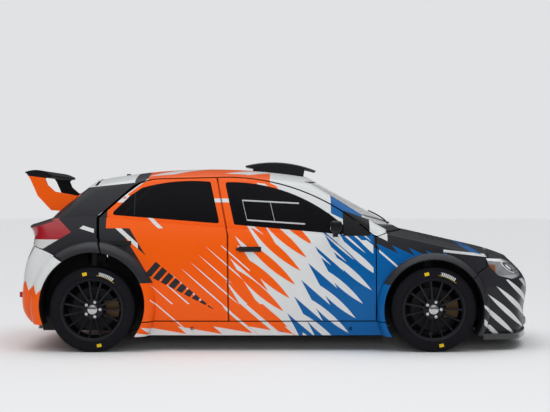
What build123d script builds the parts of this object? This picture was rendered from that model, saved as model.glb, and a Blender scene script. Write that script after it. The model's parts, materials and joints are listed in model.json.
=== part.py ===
"""Rally car: a five-door hatchback of the international second rally class, on tarmac wheels.

Frame: +X points to the nose, +Y to the car's left, +Z up.  The origin lies on the ground at the middle of
the overall length and width.  All sizes are millimetres.  Side pieces are made on the right (-Y) and mirrored.
"""

import os
from math import sqrt

from build123d import *

# Driving dimensions
WHEELBASE = 2570.0
FRONT_OVERHANG = 845.0
REAR_OVERHANG = 645.0
LENGTH = WHEELBASE + FRONT_OVERHANG + REAR_OVERHANG
NOSE_X = LENGTH / 2
TAIL_X = -LENGTH / 2
FRONT_AXLE_X = NOSE_X - FRONT_OVERHANG
REAR_AXLE_X = FRONT_AXLE_X - WHEELBASE
HALF_WIDTH = 910.0  # over the wheel arch flares
BODY_HALF = 848.0  # over the doors
ROOF_Z = 1402.0  # top of the roof skin
SILL_Z = 118.0  # underside of the side skirts
SKIRT_TOP_Z = 228.0  # line between doors and side skirts

# Panel thicknesses and gaps
SIDE_WALL = 65.0  # doors and quarter panels
BONNET_WALL = 26.0
CABIN_WALL = 38.0  # pillars and window frames
SCREEN_WALL = 70.0  # the same wall along X at the raked windscreen
HATCH_WALL = 50.0  # the same wall along X at the raked rear window
ROOF_WALL = 32.0
GLASS = 6.0
SEAM = 7.0  # width of the line between two panels
DOOR_SEAM = 10.0  # wider lines round the side doors, which swing
FIT = 0.3  # clearance of pieces that seat on one another

# Wheels
TYRE_R = 320.0
TYRE_WIDTH = 205.0
TRACK_HALF = 792.0
FRONT_ARCH_R = 376.0
REAR_ARCH_R = 396.0
REAR_ARCH_Z = 356.0  # the rear opening reaches higher over its tyre
FRONT_FLARE = 52.0  # width of the flare outward from the arch edge
REAR_FLARE = 80.0
FRONT_FLARE_Y = BODY_HALF - 12.0  # where a flare's outer edge runs into the body side
REAR_FLARE_Y = BODY_HALF - 40.0
TUB_GAP = 24.0  # from arch edge out to the wheel housing
TUB_WALL = 8.0
TUB_INNER_Y = 480.0
TUB_OUTER_Y = 712.0

# Crown of bonnet and roof: radius across the car
BONNET_CROWN_R = 4150.0
ROOF_CROWN_R = 2300.0
ROOF_ARC_R = 4830.0  # along the car
ROOF_PEAK_X = -530.0

# Lower body: plan outlines stacked in height.  Columns: height, nose setback, tail setback, narrowing per side
LOWER_BODY = [
    (100.0, 75.0, 120.0, 60.0),
    (260.0, 18.0, 52.0, 14.0),
    (430.0, 0.0, 28.0, 0.0),
    (540.0, 22.0, 38.0, 1.0),
    (640.0, 105.0, 52.0, 6.0),
    (760.0, 225.0, 92.0, 20.0),
    (900.0, 340.0, 98.0, 58.0),
    (1080.0, 520.0, 230.0, 122.0),
]
# Cabin: plan outlines stacked in height.  Columns: height, front x, rear x, half width, front bow, rear bow
CABIN = [
    (840.0, 1150.0, -1890.0, 776.0, 235.0, 95.0),
    (1000.0, 861.0, -1805.0, 725.0, 185.0, 80.0),
    (1160.0, 570.0, -1628.0, 659.0, 140.0, 65.0),
    (1440.0, 60.0, -1322.0, 512.0, 95.0, 50.0),
]

# Panel lines in side view
DOOR_FRONT_X = 758.0
DOOR_SPLIT_X = -362.0
BELT_SPLIT = (-372.0, 880.0)
ROOF_SPLIT = (-462.0, 1322.0)
HATCH_TOP_X = -1400.0
ROOF_HALF = 500.0
SCREEN_BASE_Z = 945.0
SCREEN_TOP_Z = 1292.0
BUMPER_BASE_Z = 128.0
SPLITTER_Z = 84.0
REAR_BUMPER_BASE_Z = 205.0
REAR_BUMPER_TOP_Z = 650.0

# Running gear
SPOKES = 15
DISC_R = 165.0
CALIPER_R = 196.0
HUB_BORE_R = 22.0
STRUT_R = 27.0
PIN_R = 13.0
KINGPIN_LOW = (FRONT_AXLE_X, -700.0, 195.0)  # lower ball joint, right side
KINGPIN_HIGH = (FRONT_AXLE_X - 30.0, -600.0, 780.0)  # strut top, right side

# Floor, bulkhead and inner structure
FLOOR = 15.0
FLOOR_Z = 150.0
FLOOR_HALF = 705.0
FLOOR_REAR_X = -940.0
REAR_FLOOR_Z = 330.0
BULKHEAD_X = 880.0
BULKHEAD = 15.0
ENGINE_BASE_Z = 230.0
TOWER_Z = 780.0
BEAM_X = 1770.0
BEAM_TOP_Z = 470.0
NOSE_PANEL_X = 1400.0
COWL_HALF = 640.0
LAMP_INNER_Y = 360.0
TAIL_LAMP_INNER_Y = 552.0
C_PILLAR_GAP = 12.0
DOOR_EDGE_GAP = 8.0  # from the line between the doors to the front door's rear edge, at the skin
DOOR_EDGE_SLANT = 0.25  # the edge runs forward by this share of the depth, to swing out past the rear door
WING_HALF = 540.0

# Body side along the line between the doors.  Columns: height, half width
DOOR_LINE = [
    (SKIRT_TOP_Z, 829.0),
    (554.0, 846.0),
    (760.0, 828.0),
    (BELT_SPLIT[1], 798.0),
    (940.0, 748.0),
    (1120.0, 680.0),
    (ROOF_SPLIT[1], 580.0),
]

# Hinges: pivot places and pin radii
DOOR_HINGES_Z = (380.0, 560.0)
FRONT_DOOR_PIVOT = (728.0, -817.0)
REAR_DOOR_PIVOT = (-387.0, -828.0)
DOOR_PIN_R = 4.5
DOOR_LUG_R = 9.0
DOOR_LUG_ROOM = 6.0  # between a lug's axis and the door skin outside it
BONNET_PIVOT = (866.0, 888.0)
BONNET_PIN_R = 6.0
BONNET_REAR_GAP = 14.0  # extra gap behind the bonnet, whose rear edge dips as it opens
HATCH_PIVOT = (-1408.0, 1310.0)
HATCH_PIN_R = 4.0
HATCH_LUG_R = 9.0
HATCH_TOP_GAP = 24.0  # from roof panel to tailgate

# Fastening places
TOW_EYE_R = 16.0
TOW_LOOP_R = 26.0
JACK_SOCKETS = (-638.0, 563.0)
JACK_SOCKET_Z = 172.0
JACK_SOCKET_R = 14.0

FAR = 3000.0  # beyond every side of the car


def side_prism(outline, y_low, y_high):
    """Solid with this outline in side view (X, Z), from y_low to y_high."""
    plane = Plane((0, y_low, 0), x_dir=(1, 0, 0), z_dir=(0, -1, 0))
    return extrude(plane * outline, amount=y_high - y_low, dir=(0, 1, 0))


def front_prism(outline, x_low, x_high):
    """Solid with this outline in front view (Y, Z), from x_low to x_high."""
    plane = Plane((x_low, 0, 0), x_dir=(0, 1, 0), z_dir=(1, 0, 0))
    return extrude(plane * outline, amount=x_high - x_low, dir=(1, 0, 0))


def plan_prism(outline, z_low, z_high):
    """Solid with this outline in plan view (X, Y), from z_low to z_high."""
    return extrude(Plane((0, 0, z_low)) * outline, amount=z_high - z_low, dir=(0, 0, 1))


def block(x_low, x_high, y_low, y_high, z_low, z_high):
    size = Box(x_high - x_low, y_high - y_low, z_high - z_low)
    return Pos((x_low + x_high) / 2, (y_low + y_high) / 2, (z_low + z_high) / 2) * size


def outline(*points):
    return make_face(Polyline(*points, close=True))


def grown(face, amount):
    return offset(face, amount=amount, kind=Kind.ARC)


def tube(start, end, radius):
    start, end = Vector(*start), Vector(*end)
    return extrude(Plane(start, z_dir=end - start) * Circle(radius), amount=(end - start).length)


def left_of(shape):
    return mirror(shape, about=Plane.XZ)


# Body masters


def plan_face(z, front, rear, half, front_bow, rear_bow, front_in, rear_in, front_r, rear_r):
    """Plan outline of the body at height z: bowed front, sides and rear with rounded corners."""
    front_x, front_y = front - front_bow, half - front_in
    rear_x, rear_y = rear + rear_bow, half - rear_in
    middle_x = (front_x + rear_x) / 2
    edges = [
        ThreePointArc((front_x, -front_y), (front, 0), (front_x, front_y)),
        ThreePointArc((front_x, front_y), (middle_x, half), (rear_x, rear_y)),
        ThreePointArc((rear_x, rear_y), (rear, 0), (rear_x, -rear_y)),
        ThreePointArc((rear_x, -rear_y), (middle_x, -half), (front_x, -front_y)),
    ]
    face = make_face(edges)
    face = fillet(face.vertices().group_by(Axis.X)[-1], front_r)
    face = fillet(face.vertices().group_by(Axis.X)[0], rear_r)
    return Plane((0, 0, z)) * face


def crowned(profile_edges, axis_z):
    """Solid under a centre-line profile in the XZ plane, turned about an axis along X far below the car."""
    face = make_face(profile_edges)
    axis = Axis((0, 0, axis_z), (1, 0, 0))
    half_angle = 36.0
    turned = revolve(Plane.XZ * face, axis, 2 * half_angle)
    return turned.rotate(axis, -half_angle)


def lower_top(inset=0.0):
    """Everything under the bonnet, shoulder and tail deck, by their centre-line profile."""
    drop = Vector(0, -inset)
    bonnet = [(830.0, 957.0), (1080.0, 905.0), (1600.0, 787.0)]
    nose = [(1600.0, 787.0), (1850.0, 708.0), (2060.0, 600.0)]
    tail = [(-2150.0, 905.0), (-1885.0, 985.0), (-1764.0, 1025.0), (-1640.0, 1062.0), (-1450.0, 1078.0)]
    belt = [(-1450.0, 1078.0), (450.0, 938.0), (830.0, 957.0)]
    base_z = -40.0
    moved = [[Vector(*p) + drop for p in run] for run in (tail, belt, bonnet)]
    nose = [Vector(p[0] - inset, p[1] - inset) for p in nose]
    start, end = moved[0][0], nose[-1]
    edges = [
        Polyline(*moved[0]),
        Polyline(*moved[1]),
        Polyline(*moved[2], nose[0]) if inset else Polyline(*moved[2]),
        ThreePointArc(*nose),
        Polyline(end, (end.X, base_z), (start.X, base_z), start),
    ]
    return crowned(edges, ROOF_Z / 2 + 205.0 - BONNET_CROWN_R)


def lower_body(inset=0.0, top_inset=0.0):
    sections = []
    for z, nose, tail, narrow in LOWER_BODY:
        sections.append(
            plan_face(z if z > LOWER_BODY[0][0] or not inset else -20.0,
                      NOSE_X - nose - inset, TAIL_X + tail + inset, BODY_HALF - narrow - inset,
                      190.0, 70.0, 62.0, 46.0, 190.0 - inset / 2, 150.0 - inset / 2)
        )
    return loft(sections) & lower_top(top_inset)


def cabin(front=0.0, rear=0.0, side=0.0, top=0.0):
    sections = []
    for z, front_x, rear_x, half, front_bow, rear_bow in CABIN:
        sections.append(
            plan_face(z if z > CABIN[0][0] or not side else z - 60.0, front_x - front, rear_x + rear, half - side,
                      front_bow, rear_bow, 30.0, 66.0, 110.0 - side / 2, 120.0 - side / 2)
        )
    top_z = ROOF_Z - top
    run = 1900.0
    fall = ROOF_ARC_R - sqrt(ROOF_ARC_R**2 - run**2)
    front_x, rear_x, low_z = ROOF_PEAK_X + run, ROOF_PEAK_X - run, 500.0
    edges = [
        ThreePointArc((rear_x, top_z - fall), (ROOF_PEAK_X, top_z), (front_x, top_z - fall)),
        Polyline((front_x, top_z - fall), (front_x, low_z), (rear_x, low_z), (rear_x, top_z - fall)),
    ]
    return loft(sections) & crowned(edges, ROOF_Z - ROOF_CROWN_R)


def flare(axle_x, arch_r, width, middle_z=TYRE_R, edge_y=FRONT_FLARE_Y):
    """Wheel arch flare: a ring about the wheel axis, widest at the arch edge and fading into the body."""
    inner, outer, root = HALF_WIDTH, edge_y, BODY_HALF - 75.0
    edges = [
        Polyline((arch_r, root), (arch_r, inner - 4.0), (arch_r + 8.0, inner)),
        ThreePointArc((arch_r + 8.0, inner), (arch_r + 0.6 * width, inner - 22.0), (arch_r + width, outer)),
        Polyline((arch_r + width, outer), (arch_r + width, root), (arch_r, root)),
    ]
    plane = Plane((axle_x, 0, middle_z), x_dir=(1, 0, 0), z_dir=(0, 0, 1))
    ring = revolve(plane * make_face(edges), Axis((axle_x, 0, middle_z), (0, 1, 0)))
    return left_of(ring)


def front_flare():
    return flare(FRONT_AXLE_X, FRONT_ARCH_R, FRONT_FLARE)


def rear_flare():
    return flare(REAR_AXLE_X, REAR_ARCH_R, REAR_FLARE, REAR_ARCH_Z, REAR_FLARE_Y)


def arch(axle_x, arch_r, middle_z=TYRE_R):
    return tube((axle_x, -FAR, middle_z), (axle_x, -TUB_INNER_Y, middle_z), arch_r)


# Panel outlines


def front_door_outline():
    edges = [
        Polyline((DOOR_FRONT_X, SKIRT_TOP_Z), (DOOR_FRONT_X, 868.0), (733.0, 882.0)),
        ThreePointArc((733.0, 882.0), (168.0, 1228.0), ROOF_SPLIT),
        Polyline(ROOF_SPLIT, BELT_SPLIT, (DOOR_SPLIT_X, SKIRT_TOP_Z), (DOOR_FRONT_X, SKIRT_TOP_Z)),
    ]
    return make_face(edges)


def rear_door_outline(gap=0.0):
    """The gap pulls the upper rear edge forward, to swing clear of the rear pillar."""
    edges = [
        Polyline((DOOR_SPLIT_X, SKIRT_TOP_Z), BELT_SPLIT, ROOF_SPLIT, (-900.0, 1312.0)),
        ThreePointArc((-900.0, 1312.0), (-1020.0 + gap / 2, 1294.0), (-1110.0 + gap, 1256.0)),
        Polyline((-1110.0 + gap, 1256.0), (-1373.0 + gap, 1016.0), (-1364.0 + gap, 865.0), (-1319.0, 752.0),
                 (-1310.0, 690.0),
                 (-1100.0, SKIRT_TOP_Z), (DOOR_SPLIT_X, SKIRT_TOP_Z)),
    ]
    return make_face(edges)


def front_window_outline():
    edges = [
        Polyline((515.0, 882.0), (-322.0, 958.0), (-398.0, 1285.0)),
        ThreePointArc((-398.0, 1285.0), (150.0, 1183.0), (515.0, 952.0)),
        Polyline((515.0, 952.0), (515.0, 882.0)),
    ]
    return fillet(make_face(edges).vertices(), 18.0)


def rear_window_outline():
    edges = [
        Polyline((-434.0, 966.0), (-1276.0, 1033.0), (-1130.0, 1180.0), (-1040.0, 1242.0)),
        ThreePointArc((-1040.0, 1242.0), (-900.0, 1274.0), (-510.0, 1288.0)),
        Polyline((-510.0, 1288.0), (-434.0, 966.0)),
    ]
    return fillet(make_face(edges).vertices(), 16.0)


def fender_outline():
    return outline((DOOR_FRONT_X, SKIRT_TOP_Z), (DOOR_FRONT_X, 866.0), (850.0, 897.0), (1000.0, 990.0),
                   (1680.0, 990.0), (1640.0, 730.0), (1596.0, 702.0), (1600.0, 640.0), (1504.0, 571.0),
                   (1440.0, 520.0), (1300.0, 260.0), (900.0, SKIRT_TOP_Z))


def headlamp_outline():
    return outline((1596.0, 702.0), (1734.0, 694.0), (1815.0, 668.0), (1905.0, 620.0), (1895.0, 566.0),
                   (1796.0, 546.0), (1687.0, 572.0), (1620.0, 640.0))


def tail_lamp_outline():
    return outline((-1673.0, 1005.0), (-1565.0, 901.0), (-1776.0, 775.0), (-1850.0, 800.0), (-2100.0, 862.0),
                   (-2100.0, 985.0))


def rear_bumper_outline():
    return outline((-2200.0, REAR_BUMPER_BASE_Z), (-2200.0, REAR_BUMPER_TOP_Z), (-1935.0, REAR_BUMPER_TOP_Z),
                   (-1850.0, 793.0), (-1776.0, 768.0), (-1629.0, 705.0), (-1500.0, 560.0),
                   (-1500.0, 300.0), (-1690.0, REAR_BUMPER_BASE_Z))


def bonnet_outline(gap=0.0):
    """The gap pulls the rear edge forward."""
    rear = 838.0 + gap
    edges = [
        ThreePointArc((rear, -690.0), (1012.0 + gap, 0.0), (rear, 690.0)),
        Polyline((rear, 690.0), (1340.0, 655.0), (1690.0, 560.0)),
        ThreePointArc((1690.0, 560.0), (1850.0, 0.0), (1690.0, -560.0)),
        Polyline((1690.0, -560.0), (1340.0, -655.0), (rear, -690.0)),
    ]
    return make_face(edges)


def tailgate_outline():
    low, high = REAR_BUMPER_TOP_Z + SEAM, 1500.0
    return outline((-545.0, low), (545.0, low), (545.0, 800.0), (596.0, 985.0), (500.0, 1345.0), (500.0, high),
                   (-500.0, high), (-500.0, 1345.0), (-596.0, 985.0), (-545.0, 800.0))


def hatch_glass_outline():
    return fillet(outline((-500.0, 1035.0), (500.0, 1035.0), (440.0, 1270.0), (-440.0, 1270.0)).vertices(), 50.0)


def screen_outline(amount=0.0):
    face = outline((-655.0, SCREEN_BASE_Z), (655.0, SCREEN_BASE_Z), (502.0, SCREEN_TOP_Z), (-502.0, SCREEN_TOP_Z))
    return grown(fillet(face.vertices(), 45.0), amount) if amount else fillet(face.vertices(), 45.0)


def body():
    """Outer skin, closed inner space, and glass-thick shell of the cabin."""
    upper = cabin()
    upper = fillet(upper.edges().filter_by(lambda e: e.center().Z > 1270.0), 60.0)
    outer = lower_body() + upper
    inner = lower_body(SIDE_WALL, BONNET_WALL) + cabin(SCREEN_WALL, HATCH_WALL, CABIN_WALL, ROOF_WALL)
    shell = outer - inner
    glazing = upper - cabin(2 * GLASS, 1.4 * GLASS, 1.1 * GLASS, 3 * GLASS)
    return outer, inner, shell, glazing


def flared(panel, area, rear=False):
    """Add the flare within this area to a right side panel and cut the wheel arch."""
    if rear:
        ring, hole = rear_flare(), arch(REAR_AXLE_X, REAR_ARCH_R, REAR_ARCH_Z)
    else:
        ring, hole = front_flare(), arch(FRONT_AXLE_X, FRONT_ARCH_R)
    return largest(panel + (ring & area) - hole)


def largest(shape):
    return shape.solids().sort_by(SortBy.VOLUME)[-1]


def tubs():
    """Right wheel housings, with the outer strip that joins the rear one to the quarter panel."""
    made = None
    for axle_x, arch_r, z in ((FRONT_AXLE_X, FRONT_ARCH_R, TYRE_R), (REAR_AXLE_X, REAR_ARCH_R, REAR_ARCH_Z)):
        low_r = arch_r + TUB_GAP
        drum = tube((axle_x, -TUB_OUTER_Y, z), (axle_x, -TUB_INNER_Y, z), low_r + TUB_WALL)
        hollow = tube((axle_x, -FAR, z), (axle_x, -TUB_INNER_Y - TUB_WALL, z), low_r)
        housing = (drum - hollow) & block(-FAR, FAR, -FAR, 0, TYRE_R - 20.0, FAR)
        housing -= tube((axle_x, -FAR, TYRE_R), (axle_x, 0, TYRE_R), 150.0)
        housing -= block(axle_x - 90.0, axle_x + 60.0, -672.0, 0, TYRE_R, FAR)
        made = housing if made is None else made + housing
    low_r = REAR_ARCH_R + TUB_GAP
    z = REAR_ARCH_Z
    strip = tube((REAR_AXLE_X, -BODY_HALF + 40.0, z), (REAR_AXLE_X, -TUB_OUTER_Y + 5.0, z), low_r + TUB_WALL)
    strip -= tube((REAR_AXLE_X, -FAR, z), (REAR_AXLE_X, 0, z), low_r)
    strip &= block(REAR_AXLE_X - 190.0, REAR_AXLE_X - 20.0, -FAR, 0, TYRE_R, FAR)
    return made + strip


def wheel(axle_x, side_y):
    """Tyre, rim and brake disc about one axle end; side_y is the tyre's middle plane."""
    out = 1.0 if side_y > 0 else -1.0
    base = Plane((axle_x, side_y, TYRE_R), x_dir=(1, 0, 0), z_dir=(0, 0, 1))
    axis = Axis((axle_x, side_y, TYRE_R), (0, 1, 0))
    half = TYRE_WIDTH / 2
    rim_r = 228.0
    seat = rim_r - 2.0
    tyre_profile = [
        Polyline((seat + FIT, half - 12.0), (rim_r + 14.0, half - 3.0)),
        ThreePointArc((rim_r + 14.0, half - 3.0), (rim_r + 52.0, half), (TYRE_R - 14.0, half - 10.0)),
        ThreePointArc((TYRE_R - 14.0, half - 10.0), (TYRE_R - 4.0, half - 16.0), (TYRE_R, half - 28.0)),
        Polyline((TYRE_R, half - 28.0), (TYRE_R, 28.0 - half)),
        ThreePointArc((TYRE_R, 28.0 - half), (TYRE_R - 4.0, 16.0 - half), (TYRE_R - 14.0, 10.0 - half)),
        ThreePointArc((TYRE_R - 14.0, 10.0 - half), (rim_r + 52.0, -half), (rim_r + 14.0, 3.0 - half)),
        Polyline((rim_r + 14.0, 3.0 - half), (seat + FIT, 12.0 - half), (seat + FIT, half - 12.0)),
    ]
    tyre = revolve(base * make_face(tyre_profile), axis)
    barrel = outline((seat, half - 11.5), (rim_r + 10.0, half - 4.6), (rim_r + 10.0, half - 1.0), (rim_r - 6.0, half),
                     (rim_r - 14.0, half - 10.0), (rim_r - 16.0, -half + 10.0), (rim_r - 6.0, -half),
                     (rim_r + 10.0, 1.0 - half), (rim_r + 10.0, 4.6 - half), (seat, 11.5 - half))
    rim = revolve(base * (barrel if out > 0 else mirror(barrel, about=Plane.XZ)), axis)
    hub = outline((HUB_BORE_R, 8.0), (HUB_BORE_R, 62.0), (42.0, 66.0), (78.0, 52.0), (82.0, 30.0), (82.0, 8.0))
    spoke = outline((70.0, 28.0), (70.0, 56.0), (140.0, 74.0), (rim_r - 8.0, 84.0), (rim_r - 8.0, 58.0),
                    (140.0, 44.0))
    if out < 0:
        hub = mirror(hub, about=Plane.XZ)
        spoke = mirror(spoke, about=Plane.XZ)
    rim += revolve(base * hub, axis)
    blade = extrude(base * spoke, amount=6.5, both=True)
    blades = [blade.rotate(axis, turn * 360.0 / SPOKES) for turn in range(SPOKES)]
    rim = rim + blades
    disc = outline((HUB_BORE_R, 7.7), (80.0, 7.7), (80.0, -10.0), (DISC_R, -10.0), (DISC_R, -40.0), (80.0, -40.0),
                   (80.0, -48.0), (40.0, -48.0), (40.0, 2.0), (HUB_BORE_R, 2.0))
    if out < 0:
        disc = mirror(disc, about=Plane.XZ)
    return {"tyre": tyre, "rim": rim, "brake_disc": revolve(base * disc, axis)}


def upright(axle_x, steered):
    """Right wheel carrier with spindle and brake caliper; the steered one has rings about the kingpin."""
    hub_y = -TRACK_HALF
    face_y = hub_y + 57.0
    made = block(axle_x - 45.0, axle_x + 45.0, face_y, face_y + 75.0, 215.0, 430.0)
    made += tube((axle_x, face_y + 5.0, TYRE_R), (axle_x, hub_y - 58.0, TYRE_R), HUB_BORE_R - FIT)
    caliper = tube((axle_x, hub_y - 14.0, TYRE_R), (axle_x, hub_y + 62.0, TYRE_R), CALIPER_R)
    caliper -= tube((axle_x, -FAR, TYRE_R), (axle_x, 0, TYRE_R), 100.0)
    caliper &= block(axle_x + 60.0, axle_x + CALIPER_R, -FAR, 0, TYRE_R - 62.0, TYRE_R + 62.0)
    gap = DISC_R + 8.0
    caliper -= tube((axle_x, hub_y + 3.0, TYRE_R), (axle_x, hub_y + 47.0, TYRE_R), gap)
    made += caliper
    made += block(axle_x + 40.0, axle_x + 125.0, face_y, face_y + 40.0, TYRE_R - 45.0, TYRE_R + 45.0)
    if steered:
        low, high = kingpin()
        along = (high - low).normalized()
        eyes = ((430.0 - 12.0, 515.0, 48.0, STRUT_R + FIT), (178.0, 225.0, 42.0, PIN_R + FIT))
        for z_low, z_high, outer, inner in eyes:
            start = low + along * ((z_low - low.Z) / along.Z)
            end = low + along * ((z_high - low.Z) / along.Z)
            made += tube(start, end, outer)
            made -= tube(start - along * 40.0, end + along * (40.0 if z_low > 300 else -6.0), inner)
    return made


def kingpin():
    return Vector(*KINGPIN_LOW), Vector(*KINGPIN_HIGH)


def front_carrier():
    """Front cross member, arms, rails, strut towers and crash beam, both sides as one welded frame."""
    low, high = kingpin()
    along = (high - low).normalized()
    x = FRONT_AXLE_X
    right = block(x - 100.0, x + 100.0, -340.0, 0.0, 170.0, ENGINE_BASE_Z)
    right += tube((x, -330.0, 192.0), (x, low.Y, 140.0), 18.0)
    right += tube((x - 90.0, -330.0, 192.0), (x, low.Y, 140.0), 15.0)
    right += tube(low - along * 56.0, low + along * ((209.0 - low.Z) / along.Z), PIN_R)
    right += block(BULKHEAD_X + BULKHEAD + FIT, BEAM_X + 30.0, -450.0, -395.0, 200.0, 290.0)
    right += block(x - 75.0, x + 20.0, -450.0, -400.0, 280.0, TOWER_Z)
    right += block(x - 75.0, x + 20.0, -650.0, -400.0, TOWER_Z - 18.0, TOWER_Z)
    right += block(x - 100.0, x + 100.0, -450.0, -330.0, 170.0, 230.0)
    right += tube(low + along * ((444.0 - low.Z) / along.Z), high - along * 14.0, STRUT_R)
    right += block(BEAM_X, BEAM_X + 30.0, -450.0, -395.0, 200.0, BEAM_TOP_Z)
    right += block(BEAM_X, BEAM_X + 30.0, -450.0, 0.0, BEAM_TOP_Z - 90.0, BEAM_TOP_Z)
    return right + left_of(right)


def rear_carrier():
    """Rear beam with its wheel carriers, struts and the pads under the luggage floor."""
    x = REAR_AXLE_X
    right = block(x - 55.0, x + 55.0, -600.0, 0.0, 205.0, 285.0)
    right += tube((x, -560.0, 245.0), (x, -TRACK_HALF + 120.0, 300.0), 38.0)
    right += upright(x, False)
    right += tube((x - 20.0, -668.0, 400.0), (x - 20.0, -610.0, 770.0), STRUT_R)
    right += block(x - 50.0, x + 50.0, -440.0, -360.0, 280.0, REAR_FLOOR_Z - FIT)
    right += block(x - 70.0, x + 40.0, -660.0, -430.0, 752.0, 772.0)
    right += block(x - 70.0, x + 40.0, -470.0, -430.0, REAR_FLOOR_Z + FLOOR + FIT, 760.0)
    right += tube((x - 20.0, -455.0, 735.0), (x - 20.0, -640.0, 735.0), 22.0)
    return right + left_of(right)


def floor_pan():
    """Cabin floor with bulkhead, step and luggage floor."""
    made = block(FLOOR_REAR_X, BULKHEAD_X + BULKHEAD, -FLOOR_HALF, FLOOR_HALF, FLOOR_Z, FLOOR_Z + FLOOR)
    made -= arch(FRONT_AXLE_X, FRONT_ARCH_R + TUB_GAP + TUB_WALL + 4.0) + left_of(
        arch(FRONT_AXLE_X, FRONT_ARCH_R + TUB_GAP + TUB_WALL + 4.0))
    made += block(FLOOR_REAR_X, FLOOR_REAR_X + FLOOR, -FLOOR_HALF, FLOOR_HALF, FLOOR_Z, REAR_FLOOR_Z + FLOOR)
    made += block(-1893.0, FLOOR_REAR_X + FLOOR, -470.0, 470.0, REAR_FLOOR_Z, REAR_FLOOR_Z + FLOOR)
    wall = outline((-470.0, FLOOR_Z), (470.0, FLOOR_Z), (470.0, 660.0), (640.0, 660.0), (640.0, 815.0),
                   (-640.0, 815.0), (-640.0, 660.0), (-470.0, 660.0))
    made += front_prism(wall, BULKHEAD_X, BULKHEAD_X + BULKHEAD)
    made += block(-900.0, BULKHEAD_X, -110.0, 110.0, FLOOR_Z, FLOOR_Z + 130.0)
    pads = [(500.0, -560.0), (500.0, 560.0), (-700.0, -560.0), (-700.0, 560.0)]
    for x, y in pads:
        made += block(x - 45.0, x + 45.0, y - 45.0, y + 45.0, FLOOR_Z - 22.0, FLOOR_Z)
    return made


def roll_cage():
    hoop_x, rail_y, rail_z = -520.0, 480.0, 1262.0
    foot_z = FLOOR_Z + FLOOR
    right = [
        ((hoop_x, -600.0, foot_z), (hoop_x, -rail_y, rail_z)),
        ((hoop_x, -rail_y, rail_z), (hoop_x, 0.0, rail_z)),
        ((hoop_x, -rail_y, rail_z), (110.0, -455.0, 1225.0)),
        ((110.0, -455.0, 1225.0), (110.0, 0.0, 1225.0)),
        ((110.0, -455.0, 1225.0), (640.0, -575.0, 880.0)),
        ((640.0, -575.0, 880.0), (690.0, -590.0, foot_z)),
        ((hoop_x, -rail_y, rail_z), (-1180.0, -425.0, REAR_FLOOR_Z + FLOOR)),
    ]
    made = None
    for start, end in right:
        bar = tube(start, end, 20.0) + Pos(*start) * Sphere(20.0) + Pos(*end) * Sphere(20.0)
        made = bar if made is None else made + bar
    made -= block(-FAR, -900.0, -FAR, FAR, 0, REAR_FLOOR_Z + FLOOR) + block(-900.0, FAR, -FAR, FAR, 0, foot_z)
    made += left_of(made)
    made += tube((hoop_x, -590.0, foot_z + 100.0), (hoop_x, rail_y, rail_z), 17.0)
    return made


def seats():
    profile = outline((150.0, 300.0), (150.0, 365.0), (-190.0, 335.0), (-320.0, 820.0), (-365.0, 960.0),
                      (-435.0, 950.0), (-395.0, 700.0), (-285.0, 250.0), (100.0, 250.0))
    profile = fillet(profile.vertices(), 22.0)
    middle = 370.0
    made = side_prism(profile, -middle - 185.0, -middle + 185.0)
    wings = outline((160.0, 300.0), (150.0, 420.0), (-150.0, 430.0), (-260.0, 700.0), (-280.0, 840.0),
                    (-400.0, 850.0), (-400.0, 700.0), (-285.0, 260.0))
    for y in (-middle - 215.0, -middle + 180.0):
        made += side_prism(wings, y, y + 35.0)
    foot = block(-220.0, 80.0, -middle - 170.0, -middle + 170.0, FLOOR_Z + FLOOR, 270.0)
    made += foot
    return {"seat_right": made, "seat_left": left_of(made)}


def dashboard():
    profile = outline((BULKHEAD_X - FIT, 660.0), (BULKHEAD_X - FIT, 800.0), (760.0, 822.0), (640.0, 806.0),
                      (600.0, 740.0), (660.0, 650.0))
    made = side_prism(fillet(profile.vertices().sort_by(Axis.X)[0:2], 25.0), -540.0, 540.0)
    wheel_y = 370.0
    column = Plane((330.0, wheel_y, 830.0), z_dir=(0.92, 0.0, -0.39))
    made += extrude(column * Circle(24.0), amount=340.0)
    made += column * Torus(165.0, 15.0)
    for turn in (0.0, 120.0, 240.0):
        made += column * Rot(0, 0, turn) * Pos(82.0, 0, 0) * Box(164.0, 34.0, 10.0)
    return made


def mirror_housing():
    """Right door mirror: a rounded shell on a foot that stands on the door below the side window."""
    shell = Pos(447.0, -905.0, 947.0) * Box(84.0, 150.0, 84.0)
    shell = fillet(shell.edges(), 24.0)
    foot = outline((-770.0, 862.0), (-774.0, 834.0), (-812.0, 836.0), (-885.0, 920.0), (-850.0, 940.0))
    return shell + front_prism(foot, 428.0, 466.0)


def rear_wing():
    plate = outline((-1962.0, 1369.0), (-1923.0, 1311.0), (-1865.0, 1180.0), (-1760.0, 1067.0), (-1650.0, 1060.0),
                    (-1554.0, 1180.0), (-1729.0, 1213.0), (-1787.0, 1265.0), (-1806.0, 1313.0), (-1761.0, 1349.0),
                    (-1871.0, 1381.0))
    section = make_face([
        ThreePointArc((-1760.0, 1343.0), (-1840.0, 1378.0), (-1965.0, 1366.0)),
        Line((-1965.0, 1366.0), (-1965.0, 1360.0)),
        ThreePointArc((-1965.0, 1360.0), (-1850.0, 1326.0), (-1760.0, 1331.0)),
        Line((-1760.0, 1331.0), (-1760.0, 1343.0)),
    ])
    made = side_prism(section, -WING_HALF + 5.0, WING_HALF - 5.0)
    for y in (-WING_HALF, WING_HALF - 14.0):
        made += side_prism(plate, y, y + 14.0)
    return made


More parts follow.
